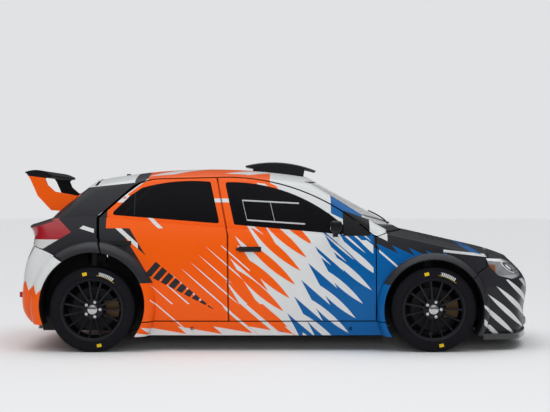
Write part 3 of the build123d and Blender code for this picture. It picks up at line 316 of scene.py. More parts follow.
def scheme_group(paint):
    """Colour of the paint scheme by place on the car: zones with edges of slanted teeth, and slashes.

    Every tooth and slash lies along one slant that falls toward the nose.
    """
    tree = group_tree("paint_scheme", [("NodeSocketColor", "Color")])
    shader = Shader(tree)
    add, sub, mul, over, under = shader.add, shader.sub, shader.mul, shader.over, shader.under
    both, either, band, saw, size = shader.both, shader.either, shader.band, shader.saw, shader.size
    x, y, z = position(shader)
    side = size(y)
    orange, white, blue, grey, black = paint.orange, paint.white, paint.blue, paint.grey, paint.black
    run, rise = shader.along(x, z, SLANT_START, SLANT)
    colour = orange

    def lay(top, *masks):
        """Lay a colour over the scheme where all the masks meet."""
        nonlocal colour
        colour = shader.mix(both(*masks), colour, top)

    def lean(share):
        """Height that gains a share of the distance toward the nose."""
        return add(z, mul(x, share))

    def past(limit, slope, period, depth, shift=0.0):
        """Mask ahead of an upright line that leans with height, with teeth along the slant."""
        line = sub(x, add(limit, mul(sub(z, SLANT_START[1]), slope)))
        return over(add(line, mul(sub(saw(add(rise, shift), period), 0.5), depth)), 0.0)

    def slashes(period, share, start, end, shift=0.0):
        """Mask of parallel slashes; each is cut to its own length, thinning to its ends."""
        count = shader.div(add(rise, shift), period)
        uneven = shader.math("SINE", mul(shader.math("FLOOR", count), 12.9898))
        moved = add(run, mul(uneven, 0.09))
        spent = shader.div(size(sub(moved, (start + end) / 2)), (end - start) / 2)
        width = mul(sub(1.0, mul(spent, spent)), share)
        return under(size(sub(saw(count), 0.5)), width)

    # Rear door: thin white slashes on orange
    lay(white, slashes(0.082, 0.060, -0.62, -0.06), band(x, -0.95, -0.20), under(z, 0.80))
    # Front door: white with orange slashes running into it from behind
    lay(white, past(-0.20, 0.20, 0.150, 0.34))
    lay(orange, under(z, 0.36), under(add(x, mul(z, 0.9)), 0.25), under(saw(rise, 0.11), 0.74))
    lay(orange, slashes(0.105, 0.30, -0.33, 0.17, 0.03), band(x, -0.36, 0.26))
    # Blue front of the door and lower wing, with white slashes
    lay(blue, past(0.36, 0.42, 0.130, 0.30, 0.05))
    lay(white, slashes(0.120, 0.20, 0.30, 0.72, 0.05), band(x, 0.20, 0.735), under(z, 0.84))
    lay(white, slashes(0.048, 0.16, 0.02, 0.33), over(x, 0.22), over(z, 0.62))
    # Dark grey upper wing, bonnet and nose
    teeth = mul(saw(add(rise, mul(x, 0.35)), 0.115), 0.055)
    upper = both(over(add(sub(z, sub(0.930, mul(x, 0.145))), teeth), 0.0), over(x, 0.74))
    lay(grey, either(upper, over(add(x, mul(z, 0.2)), 1.50)))
    lay(white, band(rise, 0.625, 0.640), band(x, 0.78, 1.05))
    hub = shader.reach(sub(x, HUBS[0].x), sub(z, HUBS[0].z))
    lay(grey, under(hub, 0.424), over(side, 0.78), over(lean(0.18), 0.66))
    lay(white, band(lean(0.113), 0.893, 0.913), band(x, 1.27, 1.60), over(side, 0.60))
    lay(black, band(x, 1.135, 1.500), band(side, 0.135, 0.480), over(z, 0.72))
    lay(white, slashes(0.090, 0.20, 1.24, 1.66, 0.02), over(x, 1.56), under(z, 0.54), over(side, 0.50))
    lay(blue, slashes(0.16, 0.15, 0.75, 1.25, 0.09), over(x, 1.40), over(z, 0.66), under(side, 0.72))
    # Tail: dark grey quarter and flare, a spent row of dark dashes, white bars, white and orange bumper
    lay(grey, sub(1.0, past(-0.985, -0.43, 0.165, 0.10, 0.06)), over(z, 0.52))
    spent = shader.div(add(run, 0.74), 0.58)
    off = size(sub(rise, add(-0.600, mul(spent, 0.080))))
    dashes = under(saw(mul(spent, 9.0)), 0.74)
    lay(grey, band(spent, 0.0, 1.0), under(off, mul(sub(1.0, spent), 0.062)), dashes)
    lay(white, band(rise, -0.556, -0.526), band(x, -1.27, -1.05))
    lay(white, band(lean(0.30), 0.478, 0.508), band(x, -1.72, -1.39))
    bumper = both(under(x, -1.50), under(add(z, mul(add(x, 1.63), 0.55)), 0.69))
    lay(white, bumper)
    ragged = mul(saw(add(x, mul(z, 0.35)), 0.075), 0.07)
    lay(orange, bumper, under(sub(z, ragged), sub(0.435, mul(add(x, 1.80), 0.25))))
    # Roof, pillars and sills
    lay(orange, over(lean(0.12), 1.262), under(x, -0.05))
    lay(white, over(z, 1.27), under(saw(add(x, mul(side, 0.9)), 0.60), 0.34), under(x, 0.30))
    window = both(over(z, 0.93), band(x, -1.30, -0.23), over(side, 0.45))
    lay(orange, window)
    lay(white, window, either(band(z, 1.128, 1.158), band(lean(0.9), 0.12, 0.155)))
    behind = sub(mul(sub(z, 1.036), 0.793), mul(add(x, 1.308), 0.609))
    lay(grey, over(behind, 0.034), under(x, -1.0), over(z, 0.92))
    lay(white, band(behind, 0.026, 0.034), under(x, -1.0), over(z, 1.03))
    lay(white, over(lean(-0.10), 1.392), under(x, -1.10))
    pillar = both(over(lean(0.50), 1.255), band(x, -0.05, 0.845))
    lay(white, pillar)
    lay(blue, pillar, band(x, 0.42, 0.66))
    waves = mul(sub(1.0, saw(add(x, mul(z, 1.1)), 0.27)), 0.060)
    lay(white, under(z, 0.235), band(x, -1.06, 0.13), under(sub(sub(z, 0.128), waves), 0.0))
    # Wing: orange end plates with a black head, black blade
    wing = both(over(z, 1.02), under(x, -1.53), band(side, 0.50, 0.546))
    lay(orange, wing)
    head = both(wing, over(z, sub(1.075, mul(x, 0.135))))
    lay(black, either(both(over(z, 1.28), under(x, -1.70), under(side, 0.524)), head))
    # Door mirrors and the panel ahead of the front window are black
    mirror = both(over(side, 0.800), over(z, 0.866), band(x, 0.2, 0.7))
    sail = both(band(x, 0.510, 0.715), over(z, 0.872), under(lean(0.34), 1.240), band(side, 0.60, 0.80))
    lay(black, either(mirror, sail))
    shader.link(colour, shader.node("NodeGroupOutput").inputs[0])
    return tree


def scheme_paint(paint):
    made, shader, bsdf = material("scheme_paint", specular=0.12, coat=0.12, coat_roughness=0.05)
    scheme = shader.node("ShaderNodeGroup", node_tree=scheme_group(paint))
    mask = shader.uneven(9.0)[0]
    shade = shader.mix(shader.mul(mask, 0.05), scheme.outputs[0], (0.0, 0.0, 0.0))
    shader.link(shade, bsdf.inputs["Base Color"])
    shader.link(shader.add(0.24, shader.mul(mask, 0.14)), bsdf.inputs["Roughness"])
    return made


def window_glass(name, low, high, alpha, shine):
    """Window pane between two tints; the shine is what it mirrors when seen square on."""
    made, shader, bsdf = material(name, roughness=0.04, alpha=alpha, specular=shine)
    shader.link(shader.mix(shader.uneven(3.0)[0], low, high), bsdf.inputs["Base Color"])
    return made


def tail_lens():
    """Ribbed red lens with a pale lower part."""
    made, shader, bsdf = material("tail_lens", roughness=0.08, coat=1.0)
    _, y, z = position(shader)
    rib = shader.wave(shader.add(y, z), 520.0)
    colour = shader.mix(rib, (0.20, 0.003, 0.007), (0.50, 0.010, 0.020))
    colour = shader.mix(shader.under(z, 0.845), colour, (0.62, 0.60, 0.60))
    shader.link(colour, bsdf.inputs["Base Color"])
    shader.bump(rib, 0.15, 0.002, bsdf)
    return made


# Mesh helpers


def add_object(name, mesh, body, materials):
    """Object that rides a body, with its materials and slot."""
    made = bpy.data.objects.new(name, mesh)
    bpy.context.scene.collection.objects.link(made)
    for one in materials:
        mesh.materials.append(one)
    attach(made, body)
    return made


def smooth_copy(node, materials, choose=None, angle=32.0):
    """Welded, smooth-shaded copy of a CAD node, which it replaces.  choose gives a face's material number."""
    mesh = NODES[node].data.copy()
    mesh.materials.clear()
    work = bmesh.new()
    work.from_mesh(mesh)
    bmesh.ops.remove_doubles(work, verts=work.verts, dist=0.00002)
    work.normal_update()
    limit = math.radians(angle)
    for edge in work.edges:
        edge.smooth = len(edge.link_faces) == 2 and edge.calc_face_angle(0.0) < limit
    for face in work.faces:
        face.smooth = True
        face.material_index = choose(face) if choose else 0
    work.to_mesh(mesh)
    work.free()
    for name in [a.name for a in mesh.attributes if a.name == "custom_normal"]:
        mesh.attributes.remove(mesh.attributes[name])
    made = add_object(f"{node}_skin", mesh, BODY_OF[node], materials)
    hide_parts(node)


def inward(face):
    """1 for a face of the car's skin that looks into the car or into a wheel housing, else 0."""
    centre = face.calc_center_median()
    for hub in HUBS:
        spoke = Vector((centre.x - hub.x, 0.0, centre.z - hub.z))
        hidden = abs(centre.y) < 0.78 or face.normal.dot(spoke.normalized()) < -0.6
        if spoke.length < HOUSING_DEPTH or spoke.length < HOUSING_EDGE and hidden:
            return 1
    out = Vector((centre.x * 0.35, centre.y, centre.z - 0.72))
    return 1 if face.normal.dot(out.normalized()) < -0.25 else 0


def mesh_object(name, work, body, materials, crease=34.0):
    """Object from a finished bmesh, smooth but for edges sharper than the crease angle."""
    bmesh.ops.recalc_face_normals(work, faces=work.faces)
    mesh = bpy.data.meshes.new(name)
    for face in work.faces:
        face.smooth = True
    for edge in work.edges:
        edge.smooth = len(edge.link_faces) == 2 and edge.calc_face_angle(0.0) < math.radians(crease)
    work.to_mesh(mesh)
    work.free()
    return add_object(name, mesh, body, materials)


def add_box(work, low, high, bevel):
    """Block between two corners with rounded edges."""
    corners = bmesh.ops.create_cube(work, size=1.0)["verts"]
    size = Vector(high) - Vector(low)
    middle = (Vector(high) + Vector(low)) / 2
    for vert in corners:
        vert.co = Vector(c * s + m for c, s, m in zip(vert.co, size, middle))
    edges = list(dict.fromkeys(edge for vert in corners for edge in vert.link_edges))
    bmesh.ops.bevel(work, geom=edges, offset=bevel, segments=2, affect="EDGES", profile=0.6)


def add_rod(work, points, radius, sides=8):
    """Closed tube through points."""
    rings = []
    points = [Vector(p) for p in points]
    angles = [2.0 * math.pi * k / sides for k in range(sides)]
    for i, point in enumerate(points):
        ahead = points[min(i + 1, len(points) - 1)] - points[max(i - 1, 0)]
        turn = ahead.to_track_quat("Z", "X").to_matrix()
        spokes = [Vector((math.cos(a) * radius, math.sin(a) * radius, 0.0)) for a in angles]
        rings.append([work.verts.new(point + turn @ spoke) for spoke in spokes])
    for low, high in zip(rings, rings[1:]):
        for k in range(sides):
            work.faces.new((low[k], low[(k + 1) % sides], high[(k + 1) % sides], high[k]))
    work.faces.new(rings[0])
    work.faces.new(rings[-1])


def surface_rod(work, tree, start, end, steps, direction, lift, radius):
    """Rod along a straight line carried along a direction onto a surface, and lifted off it."""
    points = []
    for step in range(steps + 1):
        hit = tree.ray_cast(Vector(start).lerp(Vector(end), step / steps), Vector(direction))[0]
        if hit:
            points.append(hit + Vector(lift))
    if len(points) > 1:
        add_rod(work, points, radius)


def lathe(work, profile, centre, outward, steps):
    """Turn a closed profile of (radius, distance along the axle) about a wheel's axis, which is along Y."""
    rings = []
    for k in range(steps):
        angle = 2.0 * math.pi * k / steps
        rings.append([work.verts.new((centre[0] + r * math.sin(angle), centre[1] + outward * d,
                                      centre[2] + r * math.cos(angle))) for r, d in profile])
    for here, there in zip(rings, rings[1:] + rings[:1]):
        for i in range(len(profile)):
            j = (i + 1) % len(profile)
            work.faces.new((here[i], here[j], there[j], there[i]))


def surface(node):
    """Tree of a CAD node's faces, to set pieces down on."""
    work = bmesh.new()
    work.from_mesh(NODES[node].data)
    tree = BVHTree.FromBMesh(work)
    work.free()
    return tree


def wheel_centre(end, side):
    low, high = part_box(f"{end}_{side}_tyre")
    return (low + high) / 2


# Operators


class RALLY_OT_stage(bpy.types.Operator):
    """Set up camera, lights, floor and backdrop."""

    bl_idname = "rally.stage"
    bl_label = "Stage"

    def execute(self, context):
        scene = context.scene
        settings = scene.rally_stage
        scene.view_settings.view_transform = "Standard"
        camera = bpy.data.objects.new("camera", bpy.data.cameras.new("camera"))
        scene.collection.objects.link(camera)
        camera.location = (CAMERA_SHIFT, -settings.camera_distance, settings.camera_height)
        camera.rotation_euler = (math.radians(90.0), 0.0, 0.0)
        camera.data.lens = settings.lens
        camera.data.sensor_width = 36.0
        camera.data.clip_end = 200.0
        scene.camera = camera

        mesh = bpy.data.meshes.new("floor")
        corners = [(x, y, 0.0) for x, y in ((-60.0, -14.0), (60.0, -14.0), (60.0, 90.0), (-60.0, 90.0))]
        mesh.from_pydata(corners, [], [range(4)])
        made, shader, bsdf = material("studio_floor", roughness=0.85, specular=0.1)
        shade = [c * 0.985 for c in settings.floor]
        shader.link(shader.mix(shader.uneven(0.6)[0], shade, settings.floor), bsdf.inputs["Base Color"])
        mesh.materials.append(made)
        ground = bpy.data.objects.new("floor", mesh)
        scene.collection.objects.link(ground)

        sky(scene, settings)
        for name, place, size, power in (
            ("front", (0.0, -13.0, 2.2), (10.0, 3.0), 470.0),
            ("over", (-1.0, -3.0, 9.0), (9.0, 3.0), 60.0),
        ):
            lamp = bpy.data.lights.new(name, "AREA")
            lamp.shape = "RECTANGLE"
            lamp.size, lamp.size_y = size
            lamp.energy = power
            light = bpy.data.objects.new(name, lamp)
            light.location = place
            light.rotation_euler = (LIGHT_AIM - Vector(place)).to_track_quat("-Z", "Y").to_euler()
            light.visible_glossy = name == "over"
            scene.collection.objects.link(light)
        return {"FINISHED"}


def sky(scene, settings):
    """Studio surroundings: bright overhead, darker toward the horizon; plain pale to the camera."""
    world = bpy.data.worlds.new("studio")
    scene.world = world
    world.use_nodes = True
    shader = Shader(world.node_tree)
    background = world.node_tree.nodes["Background"]
    split = shader.node("ShaderNodeSeparateXYZ")
    shader.link(shader.node("ShaderNodeTexCoord").outputs["Generated"], split.inputs[0])
    height = shader.math("POWER", shader.math("MAXIMUM", split.outputs[2], 0.0), 3.0)
    light = shader.add(settings.horizon_light, shader.mul(height, settings.overhead_light))
    seen = shader.node("ShaderNodeLightPath").outputs["Is Camera Ray"]
    shader.link(shader.add(shader.mul(light, shader.sub(1.0, seen)), seen), background.inputs[1])
    shader.link(shader.mix(seen, (0.96, 0.98, 1.0), settings.backdrop), background.inputs[0])


class RALLY_OT_body(bpy.types.Operator):
    """Paint the body panels and finish the plain fittings."""

    bl_idname = "rally.body"
    bl_label = "Body panels"

    def execute(self, context):
        painted = scheme_paint(context.scene.rally_paint)
        lining = finish("cabin_lining", (0.010, 0.010, 0.011), 0.75, vary=0.3, bump=0.25)
        for node in PAINTED:
            smooth_copy(node, [painted, lining], inward)
        black = moulded_black()
        weave = carbon()
        steel = finish("coated_steel", (0.020, 0.020, 0.022), 0.42, vary=0.3, bump=0.2)
        for node, one in (
            ("cowl", black), ("grille", black), ("front_splitter", weave), ("roof_scoop", weave),
            ("dashboard", black), ("tow_strap", webbing()),
            ("floor_pan", finish("floor_coating", (0.10, 0.10, 0.105), 0.6, vary=0.2, bump=0.2)),
            ("roll_cage", finish("cage_grey", (0.30, 0.31, 0.33), 0.38, vary=0.1, coat=0.2)),
            ("front_subframe", steel),
        ):
            smooth_copy(node, [one])
        bronze = finish("caliper_bronze", (0.10, 0.060, 0.030), 0.42, metallic=0.6, vary=0.2, bump=0.1)
        for node in ("rear_subframe", "upright_right", "upright_left"):
            smooth_copy(node, [steel, bronze], at_caliper)
        # Black plates in the wheel housings: inner walls that also stand in for the shade under the car
        inner_walls_and_shade(black)
        alloy = finish("cast_alloy", (0.32, 0.33, 0.34), 0.5, metallic=0.8, vary=0.2, bump=0.5)
        smooth_copy("engine", [alloy])
        smooth_copy("radiator", [fins()])
        smooth_copy("exhaust", [finish("exhaust_steel", (0.36, 0.33, 0.30), 0.32, metallic=1.0, vary=0.25)])
        return {"FINISHED"}


def inner_walls_and_shade(black):
    """Dark plates on the inner side of the wheel housings, below their edges: partly inner housing walls,
    partly a dark sheet that stands in for the shade under the car, where the lit floor would show through.
    """
    for end, side in WHEELS:
        centre = wheel_centre(end, side)
        near, far = sorted((SIDES[side] * 0.474, SIDES[side] * 0.4775))
        reach, top = (0.385, 0.520) if end == "front" else (0.450, 0.655)
        work = bmesh.new()
        add_box(work, (centre.x - reach, near, 0.122), (centre.x + 0.365, far, top), 0.001)
        mesh_object(f"splash_guard_{end}_{side}", work, "car_body", [black])


def at_caliper(face):
    """1 for a face of the brake caliper that a hub carrier holds ahead of its hub, else 0."""
    centre = face.calc_center_median()
    near = min((hub.x for hub in HUBS), key=lambda x: abs(x - centre.x))
    return 1 if abs(centre.y) > 0.70 and centre.x - near > 0.058 else 0


def carbon():
    """Twill weave in dark lacquer."""
    made, shader, bsdf = material("carbon_weave", coat=0.6)
    x, y, z = position(shader)
    pitch = 0.004
    first = shader.saw(shader.add(shader.add(x, y), z), pitch)
    second = shader.saw(shader.sub(shader.add(x, z), y), pitch)
    tow = shader.size(shader.sub(shader.over(first, 0.5), shader.over(second, 0.5)))
    shader.link(shader.mix(tow, (0.010, 0.010, 0.011), (0.030, 0.031, 0.033)), bsdf.inputs["Base Color"])
    shader.link(shader.add(0.28, shader.mul(tow, 0.12)), bsdf.inputs["Roughness"])
    return made


def webbing():
    """Ribbed red strap."""
    found = bpy.data.materials.get("strap_webbing")
    if found:
        return found
    made, shader, bsdf = material("strap_webbing", roughness=0.8)
    x, _, z = position(shader)
    rib = shader.wave(shader.add(x, z), 1600.0)
    shader.link(shader.mix(rib, (0.30, 0.008, 0.008), (0.55, 0.02, 0.02)), bsdf.inputs["Base Color"])
    return made


def cloth():
    """Coarse dark seat cloth."""
    made, shader, bsdf = material("seat_cloth", roughness=0.9, sheen=0.3)
    x, y, z = position(shader)
    pitch = 2400.0
    down, across = (shader.math("SINE", shader.mul(value, pitch)) for value in (shader.add(x, z), y))
    weave = shader.add(0.5, shader.mul(shader.mul(down, across), 0.5))
    shader.link(shader.mix(weave, (0.012, 0.012, 0.013), (0.035, 0.035, 0.038)), bsdf.inputs["Base Color"])
    return made


def fins():
    """Radiator core: fins between rows of tubes."""
    made, shader, bsdf = material("radiator_fins", roughness=0.5, metallic=0.6)
    _, y, z = position(shader)
    row, fin = shader.saw(shader.mul(z, 110.0)), shader.saw(shader.mul(y, 420.0))
    mask = shader.either(shader.under(row, 0.25), shader.under(fin, 0.35))
    shader.link(shader.mix(mask, (0.02, 0.02, 0.02), (0.25, 0.26, 0.27)), bsdf.inputs["Base Color"])
    return made


class RALLY_OT_seats(bpy.types.Operator):
    """Fit the bucket seats with padded covers and belts."""

    bl_idname = "rally.seats"
    bl_label = "Seats"

    def execute(self, context):
        shell = finish("seat_shell", (0.016, 0.016, 0.018), 0.38, vary=0.25, coat=0.3)
        cover = cloth()
        for side, sign in SIDES.items():
            smooth_copy(f"seat_{side}", [shell])
            for name, path, half, thick, channels in PADS:
                work = bmesh.new()
                quilt(work, path, sign * SEAT_MIDDLE, half, thick, channels)
                made = mesh_object(f"seat_{name}_pad_{side}", work, "car_body", [cover])
        belts()
        return {"FINISHED"}


def quilt(work, path, y, half, thick, channels):
    """A stuffed pad along a path in side view, with stitched channels across it."""
    along, across = 8 * channels, 14
    spans = len(path) - 1
    tops, bases = [], []
    for i in range(along + 1):
        t = i / along
        step = min(int(t * spans), spans - 1)
        local = t * spans - step
        a, b = Vector(path[step]), Vector(path[step + 1])
        spot = a.lerp(b, local)
        run = (b - a).normalized()
        out = Vector((-run.y, run.x)) if path[-1][1] - path[0][1] < 0.1 else Vector((run.y, -run.x))
        stitch = abs(math.sin(math.pi * t * channels)) ** 0.5
        row, floor = [], []
        for j in range(across + 1):
            v = 2.0 * j / across - 1.0
            edge = (1.0 - abs(v) ** 5) ** 0.5 * (1.0 - abs(2.0 * t - 1.0) ** 8) ** 0.5
            rise = thick * edge * (0.72 + 0.28 * stitch)
            row.append(work.verts.new((spot.x + out.x * rise, y + half * v, spot.y + out.y * rise)))
            floor.append(work.verts.new((spot.x - out.x * 0.004, y + half * v, spot.y - out.y * 0.004)))
        tops.append(row)
        bases.append(floor)
    for i in range(along):
        for j in range(across):
            work.faces.new((tops[i][j], tops[i][j + 1], tops[i + 1][j + 1], tops[i + 1][j]))
            work.faces.new((bases[i][j], bases[i + 1][j], bases[i + 1][j + 1], bases[i][j + 1]))
        for j in (0, across):
            work.faces.new((tops[i][j], tops[i + 1][j], bases[i + 1][j], bases[i][j]))
    for i in (0, along):
        for j in range(across):
            work.faces.new((tops[i][j], bases[i][j], bases[i][j + 1], tops[i][j + 1]))


class RALLY_OT_glass(bpy.types.Operator):
    """Fit the windows and lamps."""

    bl_idname = "rally.glass"
    bl_label = "Glass and lamps"

    def execute(self, context):
        tinted = window_glass("tinted_glass", (0.003, 0.003, 0.004), (0.007, 0.007, 0.009), 0.93, 0.06)
        clear = window_glass("clear_glass", (0.46, 0.49, 0.49), (0.54, 0.57, 0.57), 0.20, 0.5)
        smooth_copy("windscreen", [clear], angle=50.0)
        smooth_copy("rear_window", [tinted], angle=50.0)
        lens = head_lens()
        red = tail_lens()
        for side in SIDES:
            for end in ("front", "rear"):
                smooth_copy(f"{end}_door_glass_{side}", [tinted], angle=50.0)
            smooth_copy(f"headlamp_{side}", [lens])
            smooth_copy(f"tail_lamp_{side}", [red])
        return {"FINISHED"}


def head_lens():
    """Clear cover over chrome reflectors: two round lamps in a dark surround; the lamps' pale rings are
    painted reflections, and the pale upper strip is a painted highlight.
    """
    made, shader, bsdf = material("head_lens", roughness=0.06, coat=0.7, coat_roughness=0.02)
    x, y, z = position(shader)
    side = shader.size(y)
    colour = shader.mix(shader.uneven(25.0)[0], (0.12, 0.12, 0.13), (0.30, 0.31, 0.33))
    # Each lamp: the pale outer ring and the bright centre are painted reflections of its chrome reflector,
    # with a dark ring between
    rings = ((1.0, (0.62, 0.64, 0.67)), (0.80, (0.025, 0.025, 0.030)), (0.45, (0.80, 0.82, 0.85)))
    for across, up, size in ((0.700, 0.632, 0.046), (0.590, 0.628, 0.042)):
        reach = shader.reach(shader.sub(side, across), shader.sub(z, up))
        for share, ring in rings:
            colour = shader.mix(shader.under(reach, size * share), colour, ring)
    amber = shader.both(shader.band(x, 1.600, 1.665), shader.band(z, 0.590, 0.655))
    # Pale strip along the top edge of the lens: a painted highlight
    painted_top_highlight = shader.over(shader.add(z, shader.mul(x, 0.10)), 0.845)
    low = shader.under(shader.sub(z, shader.mul(x, 0.05)), 0.485)
    for mask, top in ((amber, (0.20, 0.075, 0.025)), (painted_top_highlight, (0.80, 0.81, 0.82)), (low, (0.36, 0.37, 0.39))):
        colour = shader.mix(mask, colour, top)
    shader.link(colour, bsdf.inputs["Base Color"])
    return made


class RALLY_OT_wheels(bpy.types.Operator):
    """Build tyres, rims, discs, nuts and centre caps."""

    bl_idname = "rally.wheels"
    bl_label = "Wheels"

    def execute(self, context):
        settings = context.scene.rally_wheel
        black = finish("rim_lacquer", (0.007, 0.007, 0.010), 0.34, vary=0.2, coat=0.06)
        disc = finish("disc_face", (0.016, 0.016, 0.018), 0.5, metallic=0.3, vary=0.25)
        silver = nut_steel()
        rubber = tyre_rubber()
        for end, side in WHEELS:
            outward = SIDES[side]
            centre = wheel_centre(end, side)
            body = BODY_OF[f"{end}_{side}_tyre"]
            smooth_copy(f"{end}_{side}_rim", [black])
            smooth_copy(f"{end}_{side}_brake_disc", [disc])
            tyre(f"{end}_{side}", centre, outward, body, rubber, settings.groove_depth)
            nuts(f"{end}_{side}_nuts", centre, outward, body, silver, settings)
            work = bmesh.new()
            lathe(work, CAP_PROFILE, centre, outward, 48)
            mesh_object(f"{end}_{side}_cap", work, body, [silver])
        return {"FINISHED"}


def tyre(name, centre, outward, body, rubber, depth):
    """Grooved tarmac tyre with moulded sidewall ridges, in place of the plain CAD tyre."""
    rim, crown, half = 0.2264, 0.320, 0.1025
    side = [(rim, half - 0.012), (0.242, half - 0.003), (0.250, half - 0.001), (0.252, half + 0.0002),
            (0.256, half + 0.0002), (0.258, half - 0.0006), (0.280, half - 0.0002), (0.296, half - 0.0045),
            (0.2975, half - 0.0035), (0.300, half - 0.0045), (0.306, half - 0.010), (0.316, half - 0.016),
            (crown, half - 0.028)]
    tread = []
    for groove in (-0.045, 0.0, 0.045):
        tread += [(crown, groove - 0.005), (crown - depth, groove - 0.004), (crown - depth, groove + 0.004),
                  (crown, groove + 0.005)]
    work = bmesh.new()
    lathe(work, side + [(r, -d) for r, d in tread + side[::-1]], centre, outward, 144)

    def turn(place):
        return math.atan2(place.x - centre.x, place.z - centre.z) / (2.0 * math.pi)

    layer = work.loops.layers.uv.new("round")
    for face in work.faces:
        base = turn(face.calc_center_median())
        for loop in face.loops:
            place = loop.vert.co
            here = turn(place)
            radius = math.hypot(place.x - centre.x, place.z - centre.z)
            loop[layer].uv = (here + round(base - here), radius)
    made = mesh_object(f"{name}_tyre_skin", work, body, [rubber], 30.0)
    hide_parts(f"{name}_tyre")


def tyre_rubber():
    """Black rubber with plain coloured marks on the sidewall."""
    made, shader, bsdf = material("tyre_rubber", specular=0.06)
    split = shader.node("ShaderNodeSeparateXYZ")
    shader.link(shader.node("ShaderNodeUVMap", uv_map="round").outputs[0], split.inputs[0])
    turn, radius = split.outputs[0], split.outputs[1]
    mask, height = shader.uneven(50.0)
    half = shader.saw(shader.add(shader.mul(turn, 2.0), 10.0))
    once = shader.under(shader.saw(shader.add(turn, 10.0)), 0.5)
    rows = shader.under(shader.saw(shader.mul(half, 60.0)), 0.7)
    pale = shader.both(shader.band(radius, 0.262, 0.286), shader.band(half, 0.06, 0.20), rows, once)
    yellow = shader.both(shader.band(radius, 0.261, 0.285), shader.band(half, 0.915, 0.955))
    line = shader.both(shader.band(radius, 0.2585, 0.2605), shader.band(half, 0.04, 0.22), once)
    colour = shader.mix(mask, (0.007, 0.007, 0.009), (0.013, 0.013, 0.016))
    colour = shader.mix(pale, colour, (0.55, 0.56, 0.58))
    colour = shader.mix(shader.either(yellow, line), colour, (0.78, 0.52, 0.02))
    shader.link(colour, bsdf.inputs["Base Color"])
    shader.link(shader.add(0.62, shader.mul(mask, 0.2)), bsdf.inputs["Roughness"])
    shader.bump(height, 0.3, 0.0008, bsdf)
    return made


def ring_tree():
    """Geometry Nodes: one shape repeated round a circle whose axis is along Y."""
    found = bpy.data.node_groups.get("repeat_round")
    if found:
        return found
    tree = bpy.data.node_groups.new("repeat_round", "GeometryNodeTree")
    face = tree.interface
    face.new_socket("Geometry", in_out="INPUT", socket_type="NodeSocketGeometry")
    for label, kind, value in (("Count", "NodeSocketInt", 5), ("Circle radius", "NodeSocketFloat", 0.05),
                               ("Size", "NodeSocketFloat", 0.01), ("Length", "NodeSocketFloat", 0.02),
                               ("Centre", "NodeSocketVector", (0.0, 0.0, 0.0))):
        socket = face.new_socket(label, in_out="INPUT", socket_type=kind)
        socket.default_value = value
    face.new_socket("Material", in_out="INPUT", socket_type="NodeSocketMaterial")
    face.new_socket("Geometry", in_out="OUTPUT", socket_type="NodeSocketGeometry")
    new, link = tree.nodes.new, tree.links.new
    entry, exit_node = new("NodeGroupInput"), new("NodeGroupOutput")
    circle = new("GeometryNodeMeshCircle")
    link(entry.outputs["Count"], circle.inputs["Vertices"])
    link(entry.outputs["Circle radius"], circle.inputs["Radius"])
    nut = new("GeometryNodeMeshCylinder")
    nut.inputs["Vertices"].default_value = 6
    link(entry.outputs["Size"], nut.inputs["Radius"])
    link(entry.outputs["Length"], nut.inputs["Depth"])
    spread = new("GeometryNodeInstanceOnPoints")
    link(circle.outputs[0], spread.inputs["Points"])
    link(nut.outputs[0], spread.inputs["Instance"])
    place = new("GeometryNodeTransform")
    place.inputs["Rotation"].default_value = (math.radians(90.0), 0.0, 0.0)
    link(spread.outputs[0], place.inputs["Geometry"])
    link(entry.outputs["Centre"], place.inputs["Translation"])
    real = new("GeometryNodeRealizeInstances")
    link(place.outputs[0], real.inputs[0])
    paint = new("GeometryNodeSetMaterial")
    link(real.outputs[0], paint.inputs["Geometry"])
    link(entry.outputs["Material"], paint.inputs["Material"])
    link(paint.outputs[0], exit_node.inputs[0])
    return tree


def grown_mesh(name, tree, values):
    """Run a Geometry Nodes tree once and keep its result as a plain mesh."""
    carrier = bpy.data.objects.new(f"{name}_carrier", bpy.data.meshes.new(f"{name}_carrier"))
    bpy.context.scene.collection.objects.link(carrier)
    modifier = carrier.modifiers.new("repeat", "NODES")
    modifier.node_group = tree
    for item in tree.interface.items_tree:
        if item.item_type == "SOCKET" and item.in_out == "INPUT" and item.name in values:
            modifier[item.identifier] = values[item.name]
    bpy.context.view_layer.update()
    evaluated = carrier.evaluated_get(bpy.context.evaluated_depsgraph_get())
    mesh = bpy.data.meshes.new_from_object(evaluated)
    mesh.name = name
    bpy.data.objects.remove(carrier)
    return mesh


def nuts(name, centre, outward, body, steel, settings):
    """Wheel nuts round the hub."""
    place = centre + Vector((0.0, outward * 0.062, 0.0))
    mesh = grown_mesh(name, ring_tree(), {
        "Count": 5, "Circle radius": settings.nut_circle, "Size": settings.nut_size, "Length": 0.020,
        "Centre": tuple(place), "Material": steel})
    add_object(name, mesh, body, [])


class RALLY_OT_trim(bpy.types.Operator):
    """Add handles, window rails and bars, mirror glass, wipers, vents, pins and the aerial's base."""

    bl_idname = "rally.trim"
    bl_label = "Trim"

    def execute(self, context):
        black = moulded_black()
        pale = finish("rail_grey", (0.55, 0.56, 0.58), 0.4, vary=0.1)
        silver = finish("mirror_face", (0.55, 0.57, 0.60), 0.06, metallic=1.0, vary=0.03)
        for side, sign in SIDES.items():
            for end, place in (("front", (-0.200, 0.772)), ("rear", (-1.185, 0.815))):
                handle(end, side, sign, place, black)
            rails(side, sign, pale)
            divider(side, sign, black)
            low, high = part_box(f"front_door_{side}")
            edge = low.y if sign < 0 else high.y
            near, far = sorted((edge - sign * 0.024, edge - sign * 0.126))
            work = bmesh.new()
            add_box(work, (0.4025, near, 0.924), (0.4060, far, 0.970), 0.0015)
            mesh_object(f"mirror_glass_{side}", work, f"front_door_{side}_body", [silver])
        wipers(black)
        vents(black)
        pins(nut_steel())
        aerial(black)
        return {"FINISHED"}


